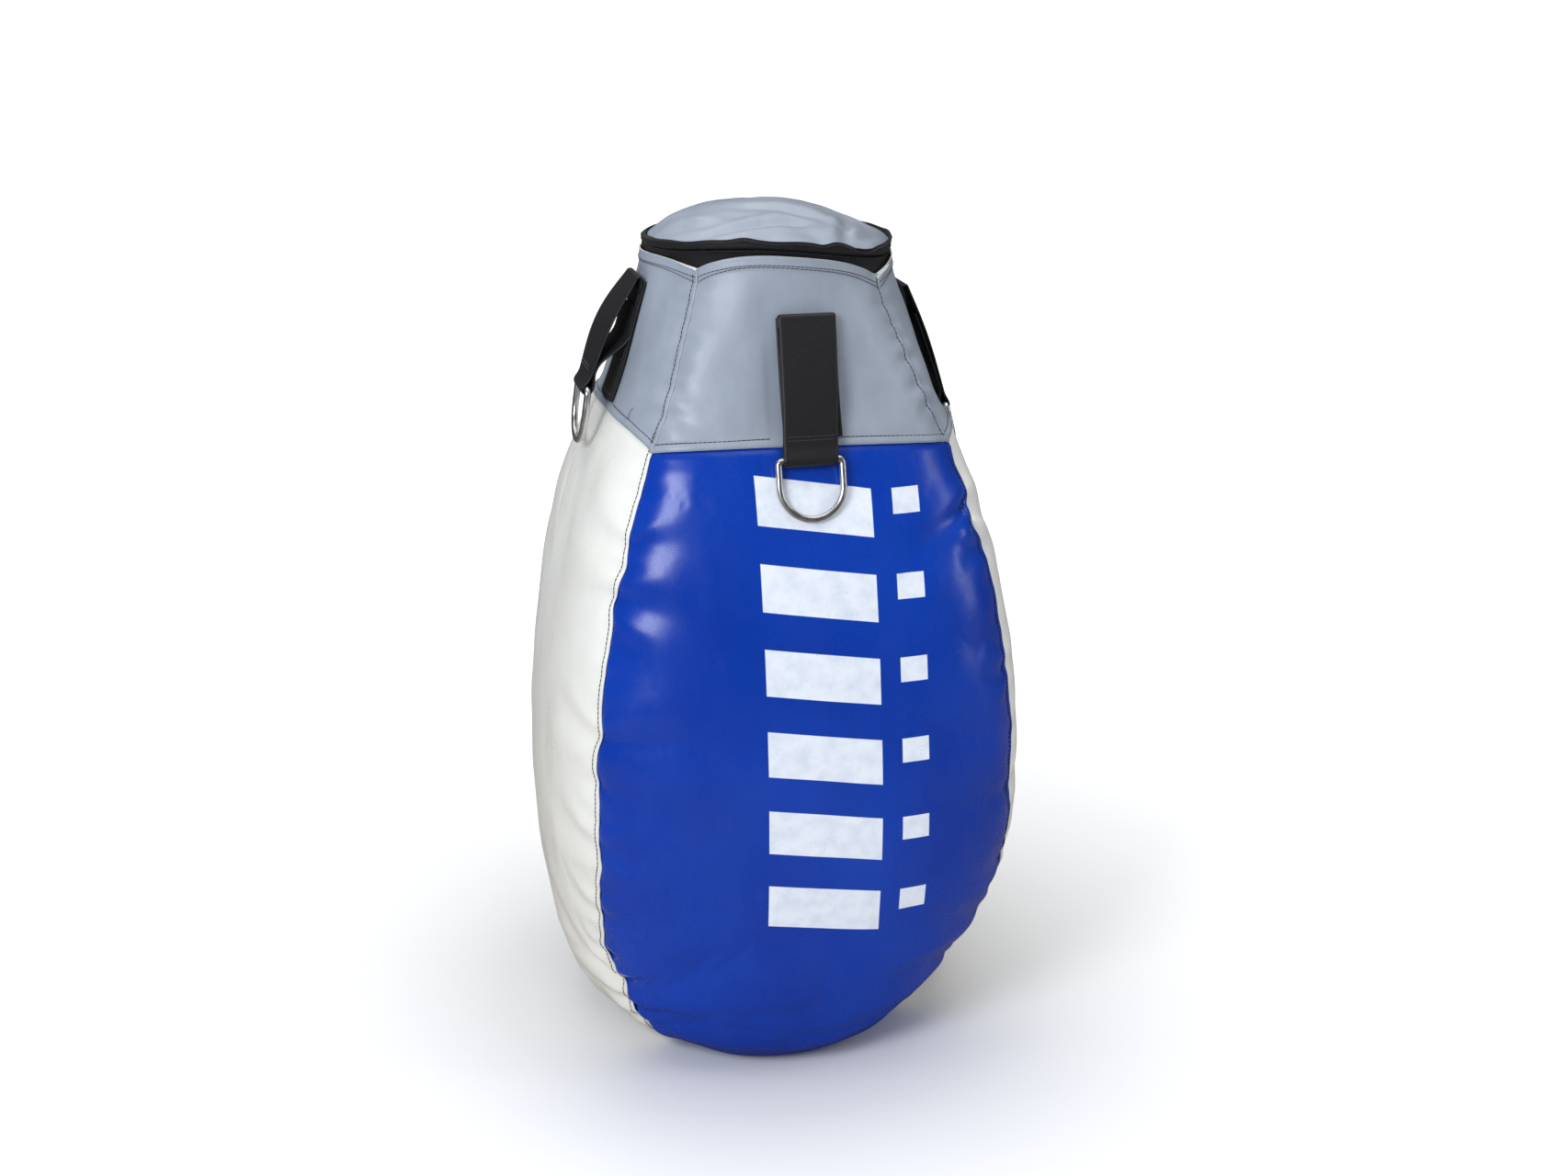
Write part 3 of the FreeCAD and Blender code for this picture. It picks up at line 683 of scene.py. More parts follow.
def print_column(s, x, level, sides, share):
    """White where a column of plain marks is; each fills a share of its pitch."""
    pitch = (PRINT_HIGH - PRINT_LOW) / PRINT_COUNT
    place = s.math("MODULO", s.math("SUBTRACT", level, PRINT_LOW), pitch)
    mark = s.between(place, 0.5 * (1 - share) * pitch, 0.5 * (1 + share) * pitch, PRINT_SOFT)
    return s.math("MULTIPLY", mark, s.between(x, *sides, PRINT_SOFT))


def blue_vinyl(s):
    blue = s.tint(rgb(0.0005, 0.030, 0.300), rgb(0.0010, 0.046, 0.400), s.noise(7.0, 4.0), 0.3, 0.7)
    dust = s.noise(60.0, 6.0, 0.7, s.stretch(1.0, 1.0, 0.4))
    blue = s.tint(blue, rgb(0.18, 0.26, 0.44), dust, 0.60, 0.85, 0.06)
    x, _, z = s.split()
    slanted = s.math("ADD", z, s.math("MULTIPLY", x, BAR_SLANT))
    bars = print_column(s, x, slanted, BAR_SIDES, BAR_SHARE)
    squares = print_column(s, x, z, SQUARE_SIDES, SQUARE_SHARE)
    span = s.between(z, PRINT_LOW, PRINT_HIGH, PRINT_SOFT)
    worn = s.ramp(s.noise(230.0, 8.0, 0.75), 0.62, 0.68, 1.0, 0.6)
    ink = s.math("MULTIPLY", s.math("MULTIPLY", s.math("MAXIMUM", bars, squares), span), worn)
    white = s.tint(rgb(0.80, 0.84, 0.90), rgb(0.66, 0.71, 0.79), s.noise(80.0, 4.0), 0.4, 0.75)
    vinyl_skin(s, s.mix(ink, blue, white), 0.26)
    s.bsdf(Specular_IOR_Level=0.36, Coat_Weight=0.04)


def white_vinyl(s):
    """Yellower towards the foot, with stains and specks."""
    # lower_tint: yellower and darker from 0.42 m down to the foot, in uneven patches
    lower_tint = s.math("ADD", s.ramp(s.split()[2], 0.42, 0.02), s.ramp(s.noise(8.0, 4.0), 0.3, 0.7, -0.15, 0.2))
    colour = s.tint(rgb(0.80, 0.80, 0.75), rgb(0.75, 0.75, 0.695), s.noise(15.0, 5.0), 0.35, 0.7)
    colour = s.tint(colour, rgb(0.70, 0.645, 0.535), lower_tint, 0.0, 1.1, 0.55)
    colour = s.tint(colour, rgb(0.50, 0.40, 0.28), s.noise(21.0, 6.0, 0.65, distortion=0.4), 0.66, 0.80, 0.16)
    colour = s.tint(colour, rgb(0.30, 0.27, 0.22), s.noise(300.0, 2.0), 0.74, 0.80, 0.25)
    vinyl_skin(s, colour, 0.30, 1.1)
    s.bsdf(Subsurface_Weight=0.04, Subsurface_Scale=0.003)


def grey_vinyl(s):
    colour = s.tint(rgb(0.235, 0.272, 0.326), rgb(0.310, 0.349, 0.408), s.noise(11.0, 5.0, 0.55), 0.3, 0.72)
    streaks = s.noise(28.0, 5.0, 0.6, s.stretch(1.6, 1.6, 0.35))
    vinyl_skin(s, s.tint(colour, rgb(0.38, 0.42, 0.49), streaks, 0.45, 0.8, 0.35), 0.42, 0.9)


def base_vinyl(s):
    scuff = s.ramp(s.noise(70.0, 6.0, 0.7), 0.55, 0.75)
    s.bsdf(Base_Color=s.mix(scuff, rgb(0.018, 0.018, 0.02), rgb(0.09, 0.085, 0.08)),
           Roughness=s.ramp(scuff, 0.0, 1.0, 0.5, 0.75),
           Normal=s.bump(s.cells(260.0)["Distance"], 0.3 * MM, 0.7))


def webbing(s):
    """Black yarn, with a painted highlight on the crowns of the ribs."""
    fuzz = s.noise(900.0, 4.0, 0.7)
    colour = s.tint(rgb(0.0035, 0.0035, 0.0042), rgb(0.013, 0.013, 0.015), fuzz, 0.45, 0.8)
    colour = s.tint(colour, rgb(0.05, 0.05, 0.055), s.noise(140.0, 6.0, 0.75), 0.72, 0.80, 0.25)
    # crown: painted highlight, a lighter colour where the ribs rise, standing in for light caught on their
    # crowns
    crown = s.ramp(s.add("ShaderNodeAttribute", attribute_name="rib").outputs["Fac"], 0.62, 0.96)
    crown = s.math("MULTIPLY", crown, s.ramp(fuzz, 0.2, 0.6, 0.5, 1.0))
    fibres = s.noise(520.0, 3.0, 0.6, s.stretch(1.0, 1.0, 0.12))
    s.bsdf(Base_Color=s.mix(crown, colour, rgb(0.090, 0.090, 0.098)), Specular_IOR_Level=0.38,
           Roughness=s.ramp(fuzz, 0.3, 0.7, 0.40, 0.56), Normal=s.bump(fibres, 0.12 * MM, 0.5),
           Sheen_Weight=0.03, Sheen_Roughness=0.4)


def zip_tape(s):
    fuzz = s.noise(700.0, 4.0, 0.7)
    colour = s.tint(rgb(0.005, 0.005, 0.0065), rgb(0.016, 0.016, 0.019), fuzz, 0.4, 0.8)
    colour = s.tint(colour, rgb(0.05, 0.049, 0.05), s.noise(50.0, 6.0, 0.7), 0.55, 0.8, 0.22)
    twill = s.bump(weave_height(s, 0.9 * MM), 0.12 * MM, 0.5)
    s.bsdf(Base_Color=colour, Roughness=0.62, Normal=s.bump(fuzz, 0.1 * MM, 0.4, twill),
           Specular_IOR_Level=0.35, Sheen_Weight=0.04)


def zip_coil(s):
    s.bsdf(Base_Color=s.mix(s.noise(200.0, 2.0), rgb(0.010, 0.010, 0.012), rgb(0.026, 0.026, 0.028)),
           Roughness=s.ramp(s.noise(90.0), 0.3, 0.7, 0.28, 0.42))


def plated_metal(s, dark, light, rough=0.30):
    """Nickel or zinc plate: slight tarnish clouds, fine scratches."""
    cloud = s.noise(120.0, 4.0, 0.6)
    scratch = s.noise(900.0, 2.0, 0.6, s.stretch(1.0, 1.0, 0.08))
    s.bsdf(Base_Color=s.tint(dark, light, cloud, 0.35, 0.7), Metallic=1.0,
           Normal=s.bump(scratch, 0.01 * MM, 0.12),
           Roughness=s.math("ADD", s.ramp(cloud, 0.3, 0.75, rough - 0.05, rough + 0.1),
                            s.ramp(scratch, 0.3, 0.7, -0.03, 0.05)))


def ring_steel(s):
    plated_metal(s, rgb(0.55, 0.56, 0.54), rgb(0.72, 0.73, 0.71))


def zip_metal(s):
    plated_metal(s, rgb(0.16, 0.16, 0.165), rgb(0.34, 0.34, 0.345))


def thread_look(s, dark, light):
    strand = s.noise(1500.0, 2.0, 0.5, s.stretch(1.0, 1.0, 0.6))
    s.bsdf(Base_Color=s.mix(strand, dark, light), Roughness=0.55, Normal=s.bump(strand, 0.1 * MM, 0.6),
           Sheen_Weight=0.25)


def black_thread(s):
    thread_look(s, rgb(0.006, 0.006, 0.009), rgb(0.026, 0.027, 0.036))


def grey_thread(s):
    thread_look(s, rgb(0.012, 0.015, 0.026), rgb(0.040, 0.048, 0.072))


def foam(s):
    pores = s.cells(900.0)["Distance"]
    colour = s.tint(rgb(0.075, 0.077, 0.082), rgb(0.12, 0.122, 0.13), s.noise(40.0, 4.0), 0.3, 0.7)
    s.bsdf(Base_Color=s.mix(s.ramp(pores, 0.1, 0.6), rgb(0.03, 0.03, 0.033), colour), Roughness=0.85,
           Normal=s.bump(pores, 0.3 * MM, 0.6))


def sack_cloth(s):
    tapes = weave_height(s, 5.0 * MM)
    colour = s.tint(rgb(0.52, 0.50, 0.44), rgb(0.70, 0.68, 0.61), tapes, -0.6, 0.6)
    colour = s.tint(colour, rgb(0.42, 0.38, 0.30), s.noise(18.0, 5.0), 0.5, 0.8, 0.4)
    s.bsdf(Base_Color=colour, Roughness=0.5, Normal=s.bump(tapes, 0.3 * MM, 0.5), Sheen_Weight=0.1)


def cord(s):
    strand = s.noise(800.0, 3.0, 0.6)
    s.bsdf(Base_Color=s.mix(strand, rgb(0.48, 0.43, 0.34), rgb(0.72, 0.68, 0.58)), Roughness=0.8,
           Normal=s.bump(strand, 0.2 * MM, 0.6), Sheen_Weight=0.3)


def fill(s):
    """Scraps of cloth in dull mixed colours."""
    scraps = s.cells(34.0)
    hue = s.add("ShaderNodeHueSaturation", Saturation=0.45, Value=0.5, Color=scraps["Color"]).outputs["Color"]
    lumps = s.bump(scraps["Distance"], 3 * MM, 0.6)
    s.bsdf(Base_Color=s.mix(0.45, hue, rgb(0.23, 0.24, 0.27)), Roughness=0.9,
           Normal=s.bump(s.noise(500.0, 4.0, 0.7), 0.6 * MM, 0.6, lumps), Sheen_Weight=0.3)


def backing(s):
    cloth = weave_height(s, 1.8 * MM)
    s.bsdf(Base_Color=s.tint(rgb(0.62, 0.62, 0.60), rgb(0.76, 0.76, 0.74), cloth, -0.7, 0.7),
           Roughness=0.8, Normal=s.bump(cloth, 0.2 * MM, 0.6))


LOOK_MAKERS = {maker.__name__: maker for maker in (
    blue_vinyl, white_vinyl, grey_vinyl, base_vinyl, webbing, zip_tape, zip_coil, zip_metal, ring_steel,
    black_thread, grey_thread, foam, sack_cloth, cord, fill, backing)}


# ---- cover panels --------------------------------------------------------------------------
STITCH_IN = 4.6 * MM     # from a panel's edge to its topstitch
WAIST_IN = 7.0 * MM      # the same at the waist
# Deep puckers on the seam at each panel's right edge: share of the way up, depth, reach and slant (mm).
PUCKERS = {
    "left": ((0.84, 2.2, 34, 0.25), (0.78, 3.4, 60, -0.12), (0.61, 3.2, 58, 0.16), (0.56, 2.0, 36, -0.3),
             (0.47, 2.6, 50, 0.1), (0.36, 1.8, 40, 0.2), (0.288, 3.2, 34, 0.0), (0.24, 4.2, 95, 0.34),
             (0.203, 2.6, 60, -0.2), (0.16, 3.2, 62, -0.25), (0.115, 2.8, 90, -0.12)),
    "front": ((0.87, 5.0, 52, -0.30), (0.81, 2.4, 40, 0.2), (0.66, 1.8, 30, 0.0), (0.50, 2.2, 44, 0.2),
              (0.40, 2.6, 46, -0.15), (0.30, 3.6, 64, 0.22), (0.23, 3.4, 70, 0.12), (0.165, 3.4, 60, -0.1),
              (0.11, 3.0, 70, -0.2)),
    "right": ((0.80, 2.8, 44, 0.2), (0.63, 2.0, 36, -0.2), (0.45, 2.8, 50, 0.1), (0.26, 2.6, 40, -0.1)),
    "back": ((0.83, 2.4, 40, -0.2), (0.58, 2.6, 48, 0.15), (0.38, 2.0, 36, 0.2), (0.20, 2.8, 44, -0.15)),
}
# Long soft creases round the foot of the bag: height in mm, rise across the panel, depth and width in mm.
BELLY_CREASES = ((20, 0.06, 1.2, 4), (42, -0.07, 1.3, 5), (74, 0.16, 1.0, 6))
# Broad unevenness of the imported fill: height in mm, size and seed.
BODY_SWELL = ((1.3, 0.16, 11), (0.55, 0.07, 12))
FOOT_SWELL = ((1.2, 0.075, 13),)
CREASE_SWAY = ((3.0, 0.15, 14),)
YOKE_SWELL = ((1.1, 0.12, 21), (0.4, 0.05, 22))
EDGE_DIP = {"body": (2.4 * MM, 11 * MM), "yoke": (1.5 * MM, 9 * MM)}   # depth and reach of the sewn-in edges
CROWN = 2.6 * MM         # how far a body panel bulges
NECK_RISE = (9.0 * MM, -18.0, 42.0)          # how far the zip rides up, where, and how broadly
NECK_DIP = (7.0 * MM, 62.0, 38.0)


def small_puckers(seed, count=24):
    """Shallow seeded puckers between the deep ones, closer together and deeper towards the foot."""
    rng = np.random.default_rng(seed)
    shares = (np.arange(count) + rng.uniform(0.1, 0.9, count)) / count
    return [(share, rng.uniform(0.4, 1.5) * (1.7 - 0.9 * share), rng.uniform(12, 34), rng.uniform(-0.4, 0.4))
            for share in shares]


def body_puckers(side):
    return list(PUCKERS[side]) + small_puckers(len(side) * 3 + 1)


def yoke_puckers(side):
    return small_puckers(len(side) * 5, 7)


def pucker_field(along, away, puckers, first, last):
    """Valleys that run in from a seam, with a ridge on each side."""
    total = np.zeros_like(away)
    for share, depth, reach, slant in puckers:
        across = along - first - share * (last - first) - slant * away
        width = 3.4 * MM + 0.15 * away + 0.04 * reach * MM
        fade = (0.35 + 0.65 * smooth(away / (8 * MM))) * np.exp(-(away / (reach * MM)) ** 1.4)
        ridges = bell(across - 1.9 * width, 1.1 * width) + bell(across + 1.9 * width, 1.1 * width)
        total += depth * MM * fade * (0.5 * ridges - bell(across, width))
    return total


def seam_folds(panel, side, puckers_of, first, last):
    """The puckers of both seams of a panel, which match those of its neighbours."""
    return (pucker_field(panel.along, panel.right, puckers_of(side), first, last)
            + pucker_field(panel.along, panel.left, puckers_of(PREVIOUS[side]), first, last))


def strap_shadow(side, points):
    """1 under and just round a sewn strap, where it holds the cloth flat."""
    low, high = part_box(side + "_strap_base")
    rim = 8 * MM
    sideways = smooth((half_width("front_strap_base") + 9 * MM - np.abs(across_of(side, points))) / rim)
    above, below = points[..., 2] - low.z + rim, high.z + rim - points[..., 2]
    return sideways * smooth(above / rim) * smooth(below / rim)


def neck_lift(phi):
    """How far the zip and the edges beside it ride up at the front left and sink at the front right."""
    turn = signed(phi)
    rise, dip = (size * bell(turn - place, spread) for size, place, spread in (NECK_RISE, NECK_DIP))
    return rise - dip


CLOTH_FRAMES = 22
CLOTH_SETTINGS = {
    "quality": 5, "mass": 0.4, "air_damping": 4.0, "tension_stiffness": 40, "compression_stiffness": 40,
    "shear_stiffness": 12, "bending_stiffness": 0.4, "vertex_group_mass": "held", "pin_stiffness": 1.0,
    "vertex_group_shrink": "slack", "use_pressure": True, "uniform_pressure_force": 5.0,
}
SLACK = 0.10             # how much longer the cloth is than its seam, at the seam
SLACK_REACH = 38 * MM
CLOTH_LIMIT = 5 * MM     # no point moves further than this


def denser(grid):
    """Twice as many rows and columns, through every point given."""
    for axis in (0, 1):
        g = np.moveaxis(grid, axis, 0)
        padded = np.concatenate([2 * g[:1] - g[1:2], g, 2 * g[-1:] - g[-2:-1]])
        out = np.empty((2 * len(g) - 1,) + g.shape[1:])
        out[0::2] = g
        out[1::2] = (9 * (padded[1:-2] + padded[2:-1]) - padded[:-3] - padded[3:]) / 16
        grid = np.moveaxis(out, 0, axis)
    return grid


def slack_near_seams(panel, points, seed):
    near = np.minimum(panel.right, panel.left)[::2, ::2]
    ends = np.minimum(panel.climb, panel.from_top)[::2, ::2]
    slack = np.maximum(bell(near, SLACK_REACH), 0.6 * bell(ends, SLACK_REACH))
    return np.clip(slack * (0.7 + 0.4 * waves(points, 0.11, seed)), 0, 1)


def relax(panel, seed):
    """How far each point moves as the slack cloth settles under pressure, held along its seams."""
    coarse = panel.points[::2, ::2]
    rows, cols = coarse.shape[:2]
    mesh = bpy.data.meshes.new("cloth")
    mesh.from_pydata(coarse.reshape(-1, 3).tolist(), [], grid_faces(rows, cols).tolist())
    obj = bpy.data.objects.new("cloth", mesh)
    bpy.context.scene.collection.objects.link(obj)
    held = np.zeros((rows, cols))
    held[[0, -1]] = held[:, [0, -1]] = 1.0
    for name, weights in (("held", held), ("slack", slack_near_seams(panel, coarse, seed))):
        group = obj.vertex_groups.new(name=name)
        for i, weight in enumerate(weights.reshape(-1)):
            group.add([i], float(weight), "REPLACE")
    cloth = obj.modifiers.new("cloth", "CLOTH")
    cloth.point_cache.frame_start, cloth.point_cache.frame_end = 1, CLOTH_FRAMES
    for name, value in CLOTH_SETTINGS.items():
        setattr(cloth.settings, name, value)
    cloth.settings.shrink_min, cloth.settings.shrink_max = 0.0, -SLACK
    cloth.settings.effector_weights.gravity = 0.0
    cloth.collision_settings.use_collision = False
    for number in range(1, CLOTH_FRAMES + 1):
        bpy.context.scene.frame_set(number)
    settled = obj.evaluated_get(bpy.context.evaluated_depsgraph_get()).data
    found = np.array([v.co for v in settled.vertices]).reshape(rows, cols, 3)
    bpy.context.scene.frame_set(1)
    bpy.data.objects.remove(obj)
    bpy.data.meshes.remove(mesh)
    moved = denser(found - coarse)
    size = np.maximum(np.linalg.norm(moved, axis=-1, keepdims=True), 1e-9)
    return moved / size * CLOTH_LIMIT * np.tanh(size / CLOTH_LIMIT)


def make_panel(side, kind, slot, panel):
    """The panel's object; its inside and its cut edges show the white woven backing."""
    obj = make(side + "_" + kind, *panel.solid(), slot, "bag", [side + "_" + kind + "_panel"])
    rows, cols = panel.points.shape[:2]
    index = np.ones(len(obj.data.polygons), dtype=np.int32)
    index[:(rows - 1) * (cols - 1)] = 0
    obj.data.materials.append(look("backing"))
    obj.data.polygons.foreach_set("material_index", index)
    return panel


def lapped_edge(panel, height, groove):
    """Raised over the neighbour at its right edge, with a groove along the topstitch."""
    stitch = panel.right + Panel.LAP - STITCH_IN
    return height * smooth((6 * MM - panel.right) / (4.5 * MM)) - groove[0] * bell(stitch, groove[1])


def edge_dip(panel, kind):
    depth, reach = EDGE_DIP[kind]
    return -depth * (bell(panel.right, reach) + bell(panel.left, reach))


def body_panel(side):
    def low(v, phi):
        return 0 * v

    def high(v, phi):
        return COVER.share(phi, waist_height(side, v) + 4.0 * MM)
    panel = Panel(side, 211, 125, low, high)
    rest = panel.points.copy()
    fade = smooth(panel.climb / (20 * MM)) * smooth(panel.from_top / (26 * MM))
    crown = CROWN * np.sin(np.pi * np.clip(0.5 + 0.5 * panel.v, 0, 1)) ** 0.6
    folds = seam_folds(panel, side, body_puckers, 0.0, WAIST_S * COVER.length)
    swell = ripple(rest, BODY_SWELL) + smooth(1 - rest[..., 2] / (0.26 * HEIGHT)) * ripple(rest, FOOT_SWELL)
    for height, lean, depth, width in BELLY_CREASES:
        level = (rest[..., 2] - lean * across_of(side, rest) - ripple(rest, CREASE_SWAY)) / MM - height
        swell = swell - depth * MM * (bell(level, width) - 0.6 * bell(level - 2 * width, 1.2 * width))
    panel.push(fade * (edge_dip(panel, "body") + crown + folds + swell * (1 - strap_shadow(side, rest))))
    panel.move(relax(panel, len(side)) * fade[..., None])
    tuck = -0.5 * MM * bell(panel.left, 4 * MM)
    under_yoke = -1.5 * MM * smooth((10 * MM - panel.from_top) / (7 * MM))
    panel.push(lapped_edge(panel, 1.5 * MM, (0.45 * MM, 1.3 * MM)) + tuck + under_yoke)
    panel.move((rest_on_floor(panel.points[..., 2]) - panel.points[..., 2])[..., None] * UPWARDS)
    return make_panel(side, "body", "blue_vinyl" if side == "front" else "white_vinyl", panel)


def yoke_panel(side):
    def low(v, phi):
        return COVER.share(phi, waist_height(side, v))

    def high(v, phi):
        return COVER.share(phi, yoke_top_height(v))
    panel = Panel(side, 71, 95, low, high)
    rest = panel.points.copy()
    panel.points[..., 2] += neck_lift(angle_of(rest)) * smooth(panel.climb / panel.climb[-1].max()) ** 2
    held = 1 - strap_shadow(side, rest)
    folds = seam_folds(panel, side, yoke_puckers, WAIST_S * COVER.length, COVER.length)
    swell = (folds + ripple(rest, YOKE_SWELL)) * held * smooth(panel.climb / (18 * MM))
    panel.push(edge_dip(panel, "yoke") + swell)
    lap = lapped_edge(panel, 1.4 * MM, (0.4 * MM, 1.2 * MM))
    up, down = panel.climb / MM, panel.from_top / MM
    foot = 1.5 * smooth((10 - up) / 6) - 0.5 * bell(up - WAIST_IN / MM, 1.3)
    hem = 1.1 * smooth((10 - down) / 2) - 0.4 * bell(down - 8, 1)
    curl = 0.8 * smooth((3 - down) / 3)
    panel.push(lap + MM * (foot + hem + curl - 0.6 * (1 - held)))
    return make_panel(side, "yoke", "grey_vinyl", panel)


def turned_edge(side, panel, corner, reach, width):
    """The top edge turned outwards beside a corner, so that the white back of the cloth shows."""
    way = travel(panel.points[-1])
    away = way if corner == "left" else way[-1] - way
    share = np.clip(1 - away / reach, 0, 1)
    chosen = np.flatnonzero(share > 0).astype(float)
    grid, facing = [], []
    for w in np.linspace(1, 0, 6):
        rows = panel.near_edge("top", w * width * share ** 0.7)
        points, normals = panel.at(np.interp(chosen, np.arange(len(rows)), rows), chosen)
        grid.append(points + normals * (0.5 + 1.1 * math.sin(math.pi * w)) * MM)
        facing.append(normals)
    grid = np.array(grid)
    make(side + "_turned_edge", *shell(grid, grid - np.array(facing) * 0.6 * MM), "backing", "bag")


# ---- stitches ------------------------------------------------------------------------------
# One stitch as (share of its length, rise, scale) of its radius: both ends dive into the cloth.
STITCH = ((-0.5, -0.9, 0.75), (-0.36, 0.1, 1.0), (0.0, 0.4, 1.0), (0.36, 0.1, 1.0), (0.5, -0.9, 0.75))
STRAP_STITCH = (2.6 * MM, 3.4 * MM, 0.32 * MM)       # length, pitch and radius on webbing
NECK_ROWS = ((7.6 * MM, 0.0), (9.2 * MM, 4.0 * MM))  # each row's distance in, and the rest at the corners


def stitches(points, normals, length=3.5 * MM, pitch=4.0 * MM, radius=0.40 * MM, lift=0.15 * MM):
    """Separate stitches along a line on cloth."""
    way = travel(points)
    parts = []
    for i in range(max(1, int(way[-1] / pitch))):
        path, around = [], []
        for share, up, scale in STITCH:
            where = (i + 0.5) * pitch + share * length
            p, n = (np.array([np.interp(where, way, line[:, k]) for k in range(3)])
                    for line in (points, normals))
            path.append(p + n * (lift + up * radius))
            around.append(radius * scale)
        parts.append(tube(path, around, 6))
    return parts


def seam_row(panel, start, stop=None):
    """A line of points and normals beside a panel's right edge."""
    cols = panel.near_edge("right", STITCH_IN)
    return panel.at(np.arange(len(cols), dtype=float)[start:stop], cols[start:stop])


def level_row(panel, edge, inset, sway, seed):
    """A slightly wavy line of points and normals beside a panel's top or bottom edge."""
    rows = panel.near_edge(edge, inset)
    points, normals = panel.at(rows, np.arange(len(rows), dtype=float))
    points[:, 2] += ripple(points, ((sway, 0.09, seed),))
    return points, normals


def loose_tail(point, normal, length, seed):
    """A cut end of thread that stands off the cloth."""
    rng = np.random.default_rng(seed)
    heading = np.array([0.55, 0.1, 0.6])
    share = np.linspace(0, 1, 9)[:, None]
    off = 0.6 * MM + 3.5 * MM * np.sin(np.pi * share * 0.55)
    path = point + heading * length * share + normal * off
    path = path + np.cross(normal, heading) * rng.uniform(-0.3, 0.3) * length * share ** 2
    return tube(path, 0.26 * MM, 5)


def body_stitching(bodies):
    parts = []
    for panel in bodies.values():
        parts += stitches(*seam_row(panel, 3))
    make("seam_stitches", *joined(parts), "black_thread", "bag", ["body_seam_stitching"])


def yoke_stitching(yokes):
    parts, waist, neck = [], [], []
    for side, panel in yokes.items():
        parts += stitches(*seam_row(panel, 2, -2))
        points, normals = level_row(panel, "bottom", WAIST_IN, 0.3, 5)
        first, last = np.flatnonzero(np.abs(across_of(side, points)) < 27 * MM)[[0, -1]]   # under the strap
        waist += stitches(points[:first], normals[:first])
        waist += stitches(points[last + 1:], normals[last + 1:])
        v = np.abs(np.linspace(-1, 1, panel.points.shape[1]))
        for seed, (inset, spread) in enumerate(NECK_ROWS, 3):
            points, normals = level_row(panel, "top", inset + spread * v ** 3, 0.4, seed)
            neck += stitches(points[1:-1], normals[1:-1], radius=0.30 * MM)
    panel = yokes["left"]
    rows = panel.near_edge("bottom", WAIST_IN)
    for share, length, seed in ((0.97, 9 * MM, 1), (0.80, 12 * MM, 2)):
        col = share * (len(rows) - 1)
        point, normal = panel.at(np.array(np.interp(col, np.arange(len(rows)), rows)), np.array(col))
        waist.append(loose_tail(point, normal, length, seed))
    make("yoke_stitches", *joined(parts), "grey_thread", "bag", ["yoke_seam_stitching"])
    make("waist_stitches", *joined(waist), "grey_thread", "bag", ["waist_stitching"])
    make("neck_stitches", *joined(neck), "black_thread", "bag", ["neck_stitching"])


# ---- lid and zip ---------------------------------------------------------------------------
# Creases pressed into the lid, in shares of its radius: place, heading, length, width; depth in mm.
LID_CREASES = (
    (0.50, -0.60, 72, 0.30, 0.045, 4.2), (0.68, -0.52, 48, 0.26, 0.045, 3.0),
    (-0.22, -0.66, 6, 0.46, 0.050, 3.0), (-0.72, -0.38, -42, 0.26, 0.06, 2.6),
    (0.08, -0.40, -22, 0.40, 0.065, 2.4), (0.30, 0.45, 25, 0.40, 0.07, 2.2))
LID_SWELL = ((0.9, 0.07, 31), (0.35, 0.03, 32))
CREASE_DEPTH = 1.3 * MM
# Bumps of the zip's upper tape: height in mm, place and spread in degrees.
TAPE_BUMPS = ((1.6, -23, 5), (2.6, 20, 8), (-1.6, 13, 4), (-2.8, 38, 8), (4.5, 70, 20))
TAPE = 0.8 * MM
COIL_TURNS, COIL_SIDES = 250, 5


def ring_points(phi, radius, z):
    phi, radius, z = np.broadcast_arrays(np.radians(phi), radius, z)
    return np.stack([radius * np.sin(phi), -radius * np.cos(phi), z], -1)


def tape_top(phi):
    """Upper edge of the upper tape: wavy, pressed down by the lid in front, a collar on the right."""
    turn = signed(phi)
    wave = 0.4 * np.sin(np.radians(9 * turn)) + 0.3 * np.sin(np.radians(17 * turn) + 1.0)
    bumps = sum(height * bell(turn - place, spread) for height, place, spread in TAPE_BUMPS)
    return LID_FOOT + MM * (wave + bumps - 0.3)


def collar_inset(phi):
    """The tape leans in at the left end of the lid."""
    return 4.5 * MM * bell(signed(phi) + 100, 42)


def lid_edge(phi):
    """Where the dome meets the tape: just behind its upper edge, but lower inside the collar on the right."""
    return tape_top(phi) - 1.8 * MM - 7.0 * MM * bell(signed(phi) - 70, 22)


def lid_dome(around, outer, foot):
    """The lid's top as rings from the middle to its edge: slumped, with soft dents."""
    shares = np.concatenate([np.linspace(0, 0.90, 40)[1:], np.linspace(0.915, 1.0, 12)])
    ring = np.sin(shares * np.pi / 2)[:, None] ** 0.9
    x = ring * np.sin(np.radians(around))
    y = -ring * np.cos(np.radians(around))
    r = np.hypot(x, y)
    rise = (LID_TOP - 3.0 * MM - foot) * (1 - r ** (2.15 - 0.75 * x)) - 2.2 * MM * x * (1 - r ** 2)
    points = np.stack([x * outer, y * outer, foot + rise], -1)
    held = 1 - r ** 8
    points[..., 2] += ripple(points, LID_SWELL) * held
    for cx, cy, heading, long, wide, depth in LID_CREASES:
        h = math.radians(heading)
        along = (x - cx) * math.cos(h) + (y - cy) * math.sin(h)
        off = -(x - cx) * math.sin(h) + (y - cy) * math.cos(h)
        ridges = 0.45 * bell(off - 1.9 * wide, 1.2 * wide) + 0.3 * bell(off + 1.9 * wide, wide)
        points[..., 2] += CREASE_DEPTH * depth * bell(along, long) * (ridges - bell(off, wide)) * held
    points[..., :2] *= (1 - collar_inset(around) / outer * r ** 3)[..., None]
    points[..., 2] += (neck_lift(around) + lid_edge(around) - foot) * r ** 5
    return points


